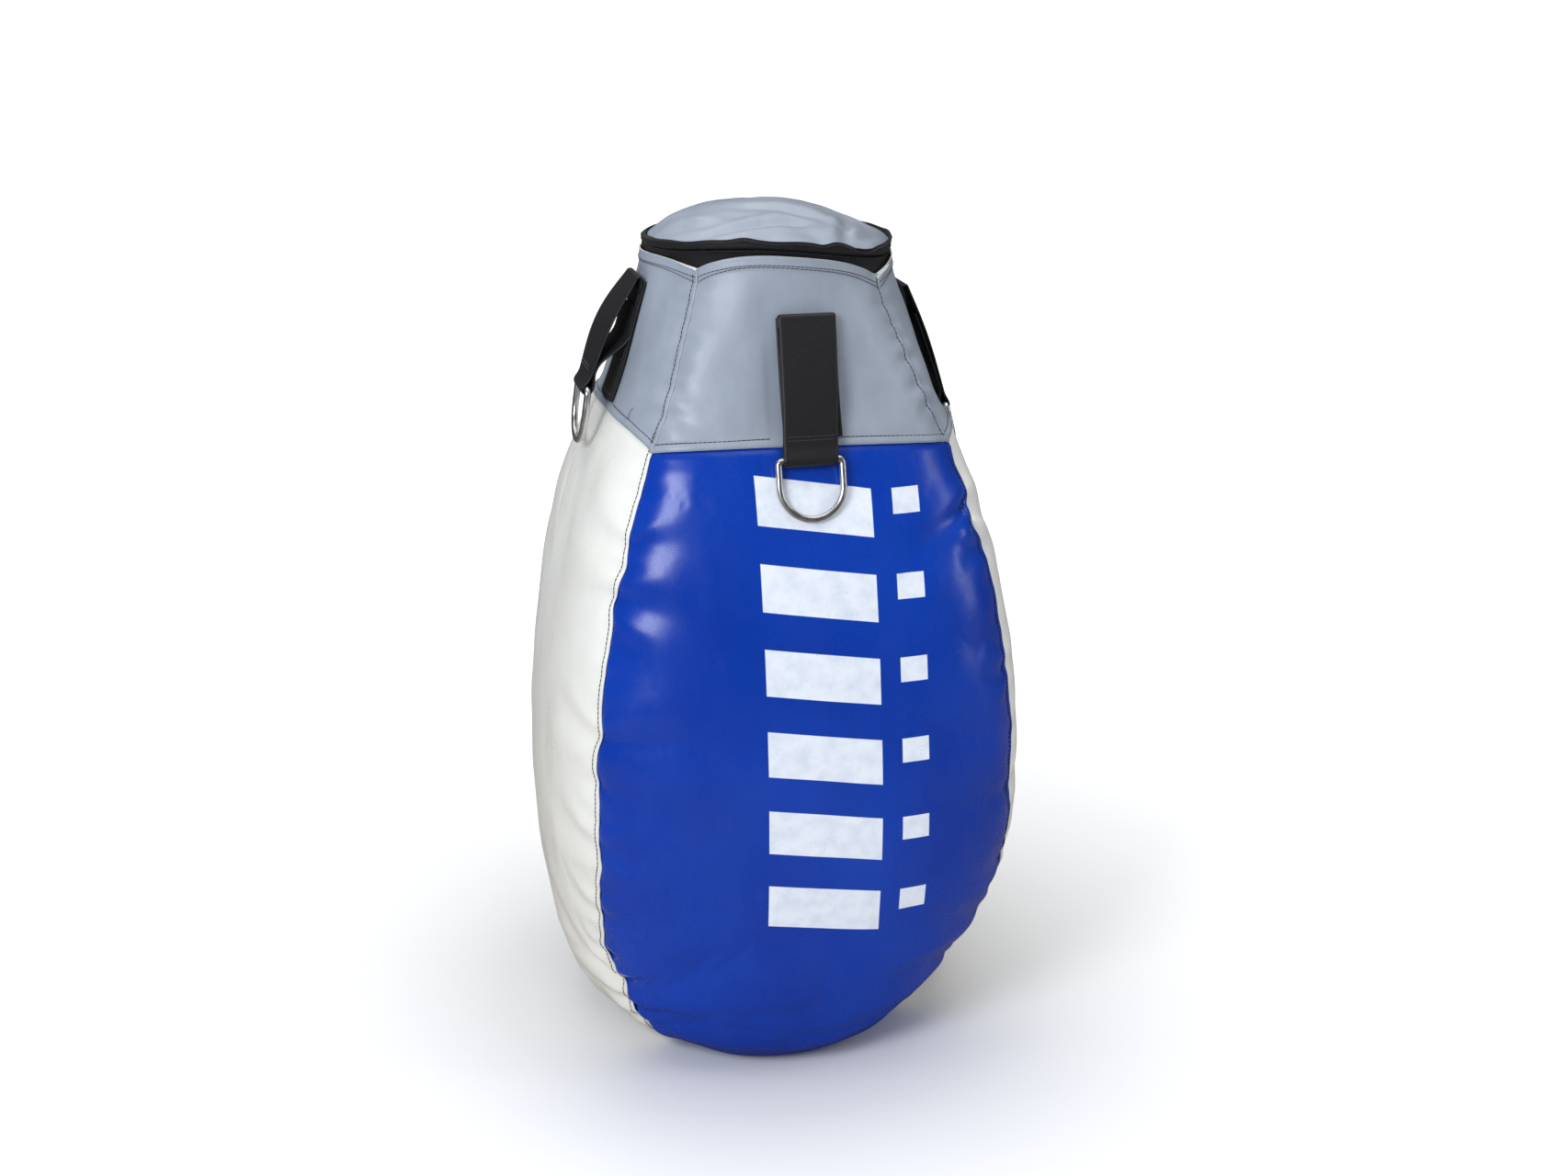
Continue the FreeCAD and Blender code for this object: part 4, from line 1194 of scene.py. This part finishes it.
def lid():
    """The dome, and a skirt that goes down and in behind the upper tape."""
    around = np.arange(144) * 2.5
    dome = lid_dome(around, LID_RADIUS - 0.6 * MM, LID_FOOT - 2.0 * MM)
    rim = dome[-1]
    low = ZIP_Z + 4.5 * MM + neck_lift(around)
    down = np.linspace(0, 1, 7)[1:, None]
    skirt = np.repeat(rim[None], len(down), 0)
    skirt[..., 2] += down * (low - rim[:, 2])
    skirt[..., :2] *= 1 - down[..., None] * (LID_RADIUS - ZIP_RADIUS - 1.2 * MM) / LID_RADIUS
    grid = np.concatenate([dome, skirt])[::-1]
    points, faces = dome_shell(grid, grid - grid_normals(grid, True) * SKIN)
    make("lid_cover", points, faces, "grey_vinyl", "lid", ["lid_panel"])


def band(phi, profile, thickness):
    """A curved strip: profile gives (radius, height) over phi for each row, bottom to top."""
    rows = np.array([ring_points(phi, r, z) for r, z in profile])
    return shell(rows, rows - grid_normals(rows) * thickness)


def zip_tapes(phi):
    """Both tapes, each ending in a lip over the coil; the upper one stands up as a collar."""
    lift = neck_lift(phi)
    zip_z = ZIP_Z + lift
    wave = 0.25 * MM * np.sin(np.radians(17 * phi))
    upper = [(ZIP_RADIUS + out * MM, zip_z + up * MM) for out, up in ((0.9, 0.9), (2.2, 1.6), (2.7, 3.2))]
    upper.append((ZIP_RADIUS + 2.3 * MM + wave, zip_z + 5.2 * MM))
    low, top = zip_z + 6.2 * MM, tape_top(phi) + lift
    for share in np.linspace(0, 1, 7):
        out = LID_RADIUS + 0.5 * MM + 0.5 * MM * math.sin(math.pi * share) + wave * (1 - share)
        upper.append((out - collar_inset(phi) * share, low + share * (top - low)))
    make("zip_tape_on_lid", *band(phi, upper, TAPE), "zip_tape", "lid", ["upper_zip_tape"])
    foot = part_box("lower_zip_tape")[0].z
    lower = []
    for share in np.linspace(0, 1, 9):
        out = ZIP_RADIUS - 0.2 * MM + 1.4 * MM * smooth((share - 0.75) * 4) + wave * (1 - share)
        lower.append((out, foot + share * (zip_z - 1.6 * MM - foot)))
    lower += [(ZIP_RADIUS + out * MM, zip_z - down * MM) for out, down in ((2.3, 1.1), (0.9, 0.6))]
    make("zip_tape_on_bag", *band(phi, lower, TAPE), "zip_tape", "bag", ["lower_zip_tape"])


def zip_coils():
    t = np.linspace(0, 1, COIL_TURNS * 10)
    a = ZIP_HALF_ARC * (2 * t - 1)
    for body, way, start, node in (("bag", -1, 0.0, "lower_zip_coil"), ("lid", 1, math.pi, "upper_zip_coil")):
        spin = 2 * np.pi * COIL_TURNS * t + start
        out = ZIP_RADIUS - 0.4 * MM + 1.15 * MM * np.cos(spin)
        up = ZIP_Z + neck_lift(a) + way * 1.35 * MM + 1.2 * MM * np.sin(spin)
        path = ring_points(a, out, up)
        make("zip_coil_on_" + body, *tube(path, 0.42 * MM, COIL_SIDES), "zip_coil", body, [node])


def lid_stitching(phi):
    """The row that sews the upper tape to the lid."""
    z = tape_top(phi) + neck_lift(phi) - 2.2 * MM
    path = ring_points(phi, LID_RADIUS + 1.1 * MM - collar_inset(phi), z)
    facing = grid_normals(np.array([path, path + UPWARDS * MM]))[0]
    parts = stitches(path, facing, 2.4 * MM, 3.2 * MM, 0.26 * MM)
    make("lid_stitches", *joined(parts), "grey_thread", "lid")


def hinge_strip():
    """One band of cover fabric behind the zip."""
    phi = np.linspace(ZIP_HALF_ARC + 1.0, 359.0 - ZIP_HALF_ARC, 61)
    foot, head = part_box("lower_hinge_band")[0].z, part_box("upper_hinge_band")[1].z
    ripples = 0.3 * MM * np.sin(np.radians(9 * phi))
    rows = [(ZIP_RADIUS + 0.6 * MM - 0.7 * MM * bell(z - ZIP_Z, 1.8 * MM) + ripples, z)
            for z in np.linspace(foot, head, 25)]
    strip = make("hinge_strip", *band(phi, rows, 1.0 * MM), "grey_vinyl", None,
                 ["lower_hinge_band", "upper_hinge_band"])
    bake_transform(strip)


def metal_nodes():
    """The slider, pull and stops keep their CAD shape, with softened edges."""
    for node in ("zip_slider", "zip_pull", "zip_end_stops"):
        obj = frame["nodes"][node]
        obj.data.materials.clear()
        obj.data.materials.append(look("zip_metal"))
        soften = obj.modifiers.new("soft_edges", "BEVEL")
        soften.width = 0.3 * MM
        soften.segments = 2
        soften.limit_method = "ANGLE"
        soften.angle_limit = math.radians(40)
        soften.harden_normals = False


# ---- straps and rings ----------------------------------------------------------------------
WEB = 2.0 * MM           # webbing thickness
RIB = 2.4 * MM           # pitch of the webbing's ribs
RIB_HEIGHT = 0.30 * MM
SELVEDGE = 1.6 * MM      # the webbing thins out over this much of its sides
STRAP_SHIFT = {"front": 6.0 * MM, "right": 0.0, "back": -2.0 * MM, "left": 0.0}   # sewn off the middle
BULGE = {"front": 2.5 * MM, "right": 3 * MM, "back": 5 * MM, "left": 8 * MM}      # how far a tab bows out
TWIST = {"front": 0.0, "right": 0.0, "back": 0.0, "left": 6 * MM}       # how far its front edge leans in
HANG = {"front": 0.0, "right": 0.0, "back": 0.0, "left": 0.85}          # how close its inner layer hangs
RING_LEAN = {"front": 16.0, "right": 14.0, "back": 16.0, "left": 8.0}   # degrees from straight down
CAD_RING_LEAN = 16.0
FOLD_SAG = 2.5 * MM      # the webbing folds a little below the axis it swings on
FOLD_TURN, BAR_TURN = 2.6 * MM, 4.2 * MM     # a tab's turns over the fold and round the ring's bar
SEWN = 17 * MM           # the two layers of a tab are sewn together from here down
CUP = 0.6 * MM           # how much a tab's edges curl in
WIRE, RING_CORNER = 3.0 * MM, 3.8 * MM


def local(side, x, r, z):
    """World points from a place across a side, out from the axis and up."""
    a = math.radians(SIDES[side])
    x, r, z = np.broadcast_arrays(np.asarray(x, float), np.asarray(r, float), np.asarray(z, float))
    across = x[..., None] * np.array([math.cos(a), math.sin(a), 0.0])
    return across + r[..., None] * np.array([math.sin(a), -math.cos(a), 0.0]) + z[..., None] * UPWARDS


def resample(path, step):
    """The path at even steps, and the distance along it."""
    way = travel(path)
    where = np.linspace(0, way[-1], max(2, int(round(way[-1] / step))))
    return np.stack([np.interp(where, way, path[:, k]) for k in range(path.shape[1])], -1), where


def make_webbing(name, body, node, middle, where, x, half, normal):
    """Webbing round a middle surface: ribs across it on both faces, thinner at the selvedges."""
    lean = 0.5 * (np.arange(len(x)) % 2)
    rib = np.sin(2 * np.pi * (where[:, None] / RIB + lean))
    edge = smooth((1 - np.abs(x) / half) * half / SELVEDGE) * 0.65 + 0.35
    outer, inner = (WEB / 2 + RIB_HEIGHT * rib) * edge, (WEB / 2 - RIB_HEIGHT * rib) * edge
    faces = shell(middle + normal * outer[..., None], middle - normal * inner[..., None])
    obj = make(name, *faces, "webbing", body, [node])
    # crown: how high each rib rises; the webbing material turns it into a painted highlight
    crown = 0.5 + 0.5 * rib.reshape(-1)          # for the colour of the ribs
    values = np.concatenate([crown, 1 - crown])
    obj.data.attributes.new("rib", "FLOAT", "POINT").data.foreach_set("value", values)


def strap_base(side):
    """The sewn part of the strap, on the yoke from the waist seam up to the fold."""
    low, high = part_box(side + "_strap_base")
    half = half_width("front_strap_base")
    x = np.linspace(-half, half, 43) + STRAP_SHIFT[side]
    points, normal = on_cover(side, x, np.arange(low.z, high.z - 4.5 * MM, 0.6 * MM))
    middle = points + normal * (0.7 * MM + WEB / 2 + ripple(points, ((0.25, 0.05, 41),)))[..., None]
    way = travel(middle[:, len(x) // 2])
    make_webbing(side + "_strap", "bag", side + "_strap_base", middle, way, x, half, normal)
    top = middle + normal * WEB / 2
    inset = 5 * MM / (2 * half)
    first, last = (int(round(share * (len(x) - 1))) for share in (inset, 1 - inset))
    rows = []
    for col in (first, last):
        rows += stitches(top[8:-14, col], normal[8:-14, col], *STRAP_STITCH)
    for level in np.linspace(9, len(top) - 16, 4).astype(int):
        rows += stitches(top[level, first:last + 1], normal[level, first:last + 1], *STRAP_STITCH)
    make(side + "_strap_stitches", *joined(rows), "black_thread", "bag", [side + "_strap_stitching"])


class TabPath:
    """Side view of a tab as (distance out, height): over the fold, down, round the bar and back up."""

    def __init__(self, side):
        self.side = side
        fold, bar = (JOINTS[side + kind]["pos_m"] for kind in ("_tab_lift", "_ring_swing"))
        self.start = np.array([math.hypot(fold[0], fold[1]), fold[2] - FOLD_SAG])
        self.end = np.array([math.hypot(bar[0], bar[1]), bar[2]])
        self.run = self.end - self.start
        self.length = np.linalg.norm(self.run)
        self.down = self.run / self.length
        self.out = np.array([-self.down[1], self.down[0]])
        self.sewn = 1 - SEWN / self.length

    def outer(self, t):
        """How far out the outer layer lies, at a share t of the way down."""
        turn = FOLD_TURN + (BAR_TURN - FOLD_TURN) * smooth((t - 0.9) * 10)
        return turn + BULGE[self.side] * np.sin(np.pi * np.clip(t * 1.04, 0, 1)) ** 1.1 * (1.15 - 0.3 * t)

    def on_strap(self, t):
        """How far out the inner layer lies when it rests on the sewn strap."""
        place = self.start + self.run * t
        under = COVER.point(SIDES[self.side], COVER.share(SIDES[self.side], place[1]))
        return (WEB + 2.2 * MM - place[0] + math.hypot(under[0], under[1])) * self.out[0]

    def inner(self, t):
        """How far out the inner layer lies: sewn to the outer one low down, hanging free above."""
        if t > self.sewn:
            share = smooth((1 - t) / (1 - self.sewn))
            return -BAR_TURN + share * (self.outer(self.sewn) - WEB - 0.3 * MM + BAR_TURN)
        free = self.sewn - t
        offset = self.outer(t) - WEB - 0.3 * MM - 0.35 * BULGE[self.side] * smooth(free * 3)
        return offset + HANG[self.side] * smooth(free * 2.5) * min(self.on_strap(t) - offset, 0.0)

    def at(self, t, offset):
        return self.start + self.run * t + self.out * offset

    def points(self):
        out, down = self.out, self.down
        path = [self.start - out * FOLD_TURN + down * 7 * MM]
        path += [self.start - FOLD_TURN * (out * math.cos(a) + down * math.sin(a))
                 for a in np.linspace(0, math.pi, 12)]
        path += [self.at(t, self.outer(t)) for t in np.linspace(0.02, 1, 50)]
        path += [self.end + BAR_TURN * (out * math.cos(a) + down * math.sin(a))
                 for a in np.linspace(0, math.pi, 14)[1:]]
        path += [self.at(t, self.inner(t)) for t in np.linspace(0.99, 0.22, 40)]
        return np.array(path)


def strap_tab(side):
    path = TabPath(side)
    line, where = resample(path.points(), 0.6 * MM)
    half = half_width("front_strap_tab")
    x = np.linspace(-half, half, 41)
    reach = np.clip(((line - path.start) @ path.down) / path.length, 0, 1)[:, None]
    bow = np.sin(np.pi * reach)
    widen = 1 + 0.05 * (1 - smooth(reach * 1.1))
    skew = STRAP_SHIFT[side] * (1 - reach) ** 0.8
    r = line[:, :1] - CUP * bow * (x / half) ** 2 - 0.5 * TWIST[side] * bow ** 0.8 * (x / half + 1)
    middle = local(side, x * widen + skew, r, line[:, 1:])
    normal = grid_normals(middle)
    make_webbing(side + "_tab", side + "_tab", side + "_strap_tab", middle, where, x, half, normal)
    rows = []
    for up in (16 * MM, 19 * MM):
        t = 1 - up / path.length
        place = path.at(t, path.outer(t) + WEB / 2 + 0.1 * MM)
        xs = np.linspace(-half + 3 * MM, half - 3 * MM, 30) + STRAP_SHIFT[side] * (up / path.length) ** 0.8
        points = local(side, xs, place[0] - CUP * math.sin(math.pi * t) * (xs / half) ** 2, place[1])
        facing = local(side, 0 * xs, path.out[0], path.out[1])
        rows += stitches(points, facing, 2.6 * MM, 3.3 * MM, 0.32 * MM)
    make(side + "_tab_stitches", *joined(rows), "black_thread", side + "_tab", [side + "_tab_stitching"])


def d_outline(half, arm):
    """Middle line of the wire, as (across, up): bar, corner, arm, bow, and the left side mirrored."""
    corner = RING_CORNER
    bar = [(x, 0.0) for x in np.linspace(-half + corner, half - corner, 30)]
    right = [(half - corner + corner * math.sin(a), -corner + corner * math.cos(a))
             for a in np.linspace(0, math.pi / 2, 10)[1:]]
    right += [(half, -d) for d in np.linspace(corner, arm, 14)[1:]]
    bow = [(half * math.cos(a), -arm - half * math.sin(a)) for a in np.linspace(0, math.pi, 60)[1:]]
    left = [(-x, y) for x, y in right[-2::-1]]
    return np.array(bar + right + bow + left)


def d_ring(side):
    """Round wire bent to a D, with the closing weld on its bar."""
    low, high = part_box("front_d_ring")
    half = half_width("front_d_ring") - WIRE
    arm = (high.z - low.z - 2 * WIRE) / math.cos(math.radians(CAD_RING_LEAN)) - half
    x, down = d_outline(half, arm).T
    bar = JOINTS[side + "_ring_swing"]["pos_m"]
    lean = math.radians(RING_LEAN[side])
    path = local(side, x, math.hypot(bar[0], bar[1]) - down * math.sin(lean), bar[2] + down * math.cos(lean))
    weld = 0.22 * MM * bell(x, 1.6 * MM) * (down > -MM)
    make(side + "_ring", *tube(path, WIRE + weld, 20, closed=True), "ring_steel", side + "_ring",
         [side + "_d_ring"])


# ---- base and inside -----------------------------------------------------------------------
# Sections from middle to edge and back, as shares of radius and thickness.
PATCH_SECTION = (                        # the dip near 0.94 is the groove of the stitches
    (0.03, 0.0), (0.2, 0.0), (0.4, 0.0), (0.6, 0.0), (0.8, 0.0), (0.915, 0.0), (0.93, 0.28), (0.95, 0.28),
    (0.965, 0.0), (0.985, 0.05), (1.0, 0.45), (0.99, 0.85), (0.96, 1.0), (0.90, 0.8), (0.80, 0.72),
    (0.5, 0.7), (0.2, 0.7), (0.03, 0.7))
FOOT_STITCH_PLACE = 0.94                 # share of the patch's radius
DISC_SECTION = ((0.05, 0.0), (0.5, 0.0), (0.97, 0.0), (1.0, 0.12), (1.0, 0.5), (1.0, 0.88), (0.97, 1.0),
                (0.5, 0.97), (0.05, 0.96))
FOAM_DEPTH = (4.2 * MM, 12.4 * MM)       # outer and inner face, below the outside of the cover
FOAM_DENT = 4.5 * MM                     # where puckers press into it
SACK_FOOT, SACK_SHOULDER = 16 * MM, ZIP_Z - 24 * MM
SACK_NECK = 9.5 * MM
PLEATS = 26
CORD_STRANDS, CORD_TWISTS = 3, 14


def even_angles(count):
    return np.arange(count) * 360.0 / count


def cover_rings(depth, low, high, rows, cols=144):
    """Rings that follow the cover at a depth, between two heights."""
    s = np.linspace(COVER.share(0.0, low), COVER.share(0.0, high), rows)[:, None]
    phi, s = np.broadcast_arrays(even_angles(cols), s)
    points = COVER.point(phi, s)
    return points - grid_normals(points, True) * depth


def turned_disc(node, section):
    """A round body with a section given in shares of a node's radius and thickness."""
    low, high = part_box(node)
    return stacked([ring_points(even_angles(120), high.x * share, low.z + up * (high.z - low.z))
                    for share, up in section])


def base_patch():
    """Round foot patch with a turned edge and a row of stitches in a groove under it."""
    make("foot_patch", *turned_disc("base_panel", PATCH_SECTION), "base_vinyl", "bag", ["base_panel"])
    low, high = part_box("base_panel")
    path = ring_points(even_angles(120), high.x * FOOT_STITCH_PLACE, low.z + 0.6 * MM)
    path = np.concatenate([path, path[:1]])
    make("foot_stitches", *joined(stitches(path, 0 * path - UPWARDS, lift=0.0)), "black_thread", "bag")


def near_seam(points):
    """1 at the panels' seams and 0 away from them."""
    share = COVER.share(angle_of(points), points[..., 2])
    return sum(bell(signed(angle_of(points) - edges(side, share)[1]), 9.0) for side in SIDES)


def foam_parts():
    low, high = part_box("foam_liner")
    outer, inner = (cover_rings(depth, low.z + MM, high.z - MM, 90) for depth in FOAM_DEPTH)
    dent = FOAM_DENT * near_seam(outer) - ripple(outer, ((0.3, 0.03, 51),))
    outer = outer - dent[..., None] * grid_normals(outer, True)
    make("foam_wall", *shell(outer, inner, True), "foam", "bag", ["foam_liner"])
    make("foam_disc", *turned_disc("base_foam_disc", DISC_SECTION), "foam", "bag", ["base_foam_disc"])


def packed_body(depth, top, pleat_height):
    """Rings of a sack or its fill: a foot, the wall behind the foam, and a top gathered towards the neck."""
    phi = even_angles(216)
    wall = cover_rings(depth, SACK_FOOT, SACK_SHOULDER + 20 * MM, 110, len(phi))
    wall = wall[wall[:, 0, 2] < SACK_SHOULDER]
    rings = [ring_points(phi, 4 * MM, wall[0, 0, 2])]
    rings += [wall[0] * np.array([k, k, 1.0]) for k in (0.35, 0.7, 0.9)]
    rings += list(wall)
    start = wall[-1]
    pleat = np.sin(np.radians(phi * PLEATS) + 1.5 * np.sin(np.radians(phi * 3)))
    for share in np.linspace(0.03, 1, 40):
        k = 1 - (1 - SACK_NECK / ZIP_RADIUS) * share
        ring = start * np.array([k, k, 1.0])
        rise = (top - start[:, 2]) * math.sin(share * math.pi / 2) ** 0.8
        ring[:, 2] = start[:, 2] + rise + pleat_height * pleat * share * (1.2 - share)
        rings.append(ring)
    return rings


def sack_and_fill():
    """The woven sack with its frilled neck, the fill inside it and the twisted cord round the neck."""
    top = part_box("fill_sack")[1].z
    sack = packed_body(12.9 * MM, top, 1.6 * MM)
    phi = even_angles(216)
    for share in np.linspace(0, 1, 6)[1:]:
        flare = SACK_NECK * (1 + 0.5 * share) * (1 + 0.16 * np.sin(np.radians(phi * PLEATS)))
        rise = 7 * MM * share * (1 + 0.1 * np.sin(np.radians(phi * 5)))
        sack.append(ring_points(phi, flare, top + rise))
    make("filling_sack", *stacked(sack), "sack_cloth", "bag", ["fill_sack"])
    packing = packed_body(14.6 * MM, top - 2.2 * MM, 0.48 * MM)
    make("textile_filling", *stacked(packing), "fill", "bag", ["textile_fill"])
    turns = np.linspace(0, 2 * np.pi, 200, endpoint=False)
    parts = []
    for strand in range(CORD_STRANDS):
        twist = turns * CORD_TWISTS + strand * 2 * np.pi / CORD_STRANDS
        r = SACK_NECK + 1.6 * MM + 0.6 * MM * np.cos(twist)
        z = top + 1.0 * MM + 0.6 * MM * np.sin(twist)
        parts.append(tube(np.stack([r * np.cos(turns), r * np.sin(turns), z], -1), 0.62 * MM, 8, closed=True))
    make("sack_tie", *joined(parts), "cord", "bag", ["sack_cord"])


def backing_patch(side):
    """Woven patch inside the yoke, behind the strap."""
    low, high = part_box(side + "_strap_backing")
    half = half_width("front_strap_backing")
    points, normal = on_cover(side, np.linspace(-half, half, 37),
                              np.linspace(low.z + 1.5 * MM, high.z - 0.5 * MM, 45))
    rows, cols = np.indices(points.shape[:2])
    weave = 0.06 * MM * ((rows + cols) % 2)
    outer = points - normal * (2.3 * MM - weave)[..., None]
    inner = points - normal * (3.2 * MM + weave)[..., None]
    make(side + "_backing", *shell(outer, inner), "backing", "bag", [side + "_strap_backing"])


# ---- stage ---------------------------------------------------------------------------------
SKY, SKY_IN_GLOSS = 0.42, 0.06           # strength of the sky, and as glossy surfaces mirror it
FLOOR_HALF = 12.0
FLOOR_GLOW = (0.25, 1.3, 0.0, 0.8)       # from and to these distances, the floor whitens from and to
# Place, width, height, watts and colour of each soft light.
LIGHTS = {
    "window_left": ((-1.5, -1.5, 1.5), 0.8, 1.0, 34, (0.90, 0.93, 1.0)),
    "window_right": ((2.0, -0.9, 1.0), 0.4, 1.3, 7, (0.97, 0.97, 1.0)),
    "overhead": ((0.1, 0.2, 2.3), 2.4, 2.4, 34, (1.0, 0.99, 0.97)),
}
AZIMUTH, ELEVATION = -13.14, 17.71       # the view: round to the left, and up
DISTANCE, TARGET_Z = 2.005, 0.400
LENS, SENSOR, SHIFT = 50.70, 36.0, (0.0115, -0.0049)


def area_light(name, place, width, height, watts, colour):
    data = bpy.data.lights.new(name, "AREA")
    data.shape = "RECTANGLE"
    data.size, data.size_y = width, height
    data.energy, data.color = watts, colour
    lamp = bpy.data.objects.new(name, data)
    lamp.location = place
    lamp.rotation_euler = (Vector((0, 0, 0.5 * HEIGHT)) - Vector(place)).to_track_quat("-Z", "Y").to_euler()
    bpy.context.scene.collection.objects.link(lamp)


def pale_floor():
    """Pale material that glows to white away from the object, and is dim in mirrored rays."""
    s = Shader("pale_floor")
    shade = s.mix(s.noise(3.0, 4.0), rgb(0.80, 0.80, 0.80), rgb(0.84, 0.84, 0.84))
    x, y, _ = s.split()
    away = s.math("SQRT", s.math("ADD", s.math("MULTIPLY", x, x), s.math("MULTIPLY", y, y)))
    rays = s.add("ShaderNodeLightPath").outputs
    shade = s.mix(rays["Is Glossy Ray"], shade, rgb(0.20, 0.16, 0.14))
    glow = s.math("MULTIPLY", s.ramp(away, *FLOOR_GLOW), rays["Is Camera Ray"])
    s.bsdf(Base_Color=shade, Roughness=0.8, Specular_IOR_Level=0.2, Emission_Color=rgb(1, 1, 1),
           Emission_Strength=glow)
    return s.material


def floor():
    mesh = bpy.data.meshes.new("floor")
    corners = [(-1, -1), (1, -1), (1, 1), (-1, 1)]
    points = [(x * FLOOR_HALF, y * FLOOR_HALF, cad_bounds[0][2]) for x, y in corners]
    mesh.from_pydata(points, [], [(0, 1, 2, 3)])
    mesh.materials.append(pale_floor())
    obj = bpy.data.objects.new("floor", mesh)
    bpy.context.scene.collection.objects.link(obj)


def sky():
    """An even pale sky: dark in mirrored rays, and white where the camera looks past the floor."""
    world = bpy.data.worlds.new("sky")
    bpy.context.scene.world = world
    world.use_nodes = True
    tree = world.node_tree
    rays = tree.nodes.new("ShaderNodeLightPath").outputs
    dim = tree.nodes.new("ShaderNodeMapRange")
    dim.inputs["To Min"].default_value = SKY
    dim.inputs["To Max"].default_value = SKY_IN_GLOSS
    white = tree.nodes.new("ShaderNodeMath")
    white.operation = "ADD"
    background = tree.nodes["Background"].inputs
    background["Color"].default_value = rgb(0.90, 0.94, 1.0)
    tree.links.new(rays["Is Glossy Ray"], dim.inputs["Value"])
    tree.links.new(dim.outputs["Result"], white.inputs[0])
    tree.links.new(rays["Is Camera Ray"], white.inputs[1])
    tree.links.new(white.outputs["Value"], background["Strength"])


def camera():
    azimuth, elevation = math.radians(AZIMUTH), math.radians(ELEVATION)
    back = Vector((math.sin(azimuth) * math.cos(elevation), -math.cos(azimuth) * math.cos(elevation),
                   math.sin(elevation)))
    data = bpy.data.cameras.new("camera")
    data.lens, data.sensor_width = LENS, SENSOR
    data.shift_x, data.shift_y = SHIFT
    data.clip_start, data.clip_end = 0.01, 60
    view = bpy.data.objects.new("camera", data)
    view.location = Vector((0, 0, TARGET_Z)) + back * DISTANCE
    view.rotation_euler = back.to_track_quat("Z", "Y").to_euler()
    bpy.context.scene.collection.objects.link(view)
    bpy.context.scene.camera = view


def build():
    bodies = {side: body_panel(side) for side in SIDES}
    yokes = {side: yoke_panel(side) for side in SIDES}
    turned_edge("left", yokes["left"], "right", 22 * MM, 2.6 * MM)
    turned_edge("right", yokes["right"], "left", 26 * MM, 5.5 * MM)
    body_stitching(bodies)
    yoke_stitching(yokes)
    phi = np.linspace(-ZIP_HALF_ARC, ZIP_HALF_ARC, 361)
    lid()
    zip_tapes(phi)
    zip_coils()
    lid_stitching(phi)
    hinge_strip()
    metal_nodes()
    for side in SIDES:
        strap_base(side)
        strap_tab(side)
        d_ring(side)
        backing_patch(side)
    base_patch()
    foam_parts()
    sack_and_fill()


build()
floor()
sky()
for light, settings in LIGHTS.items():
    area_light(light, *settings)
camera()
bpy.context.scene.view_settings.view_transform = "Standard"
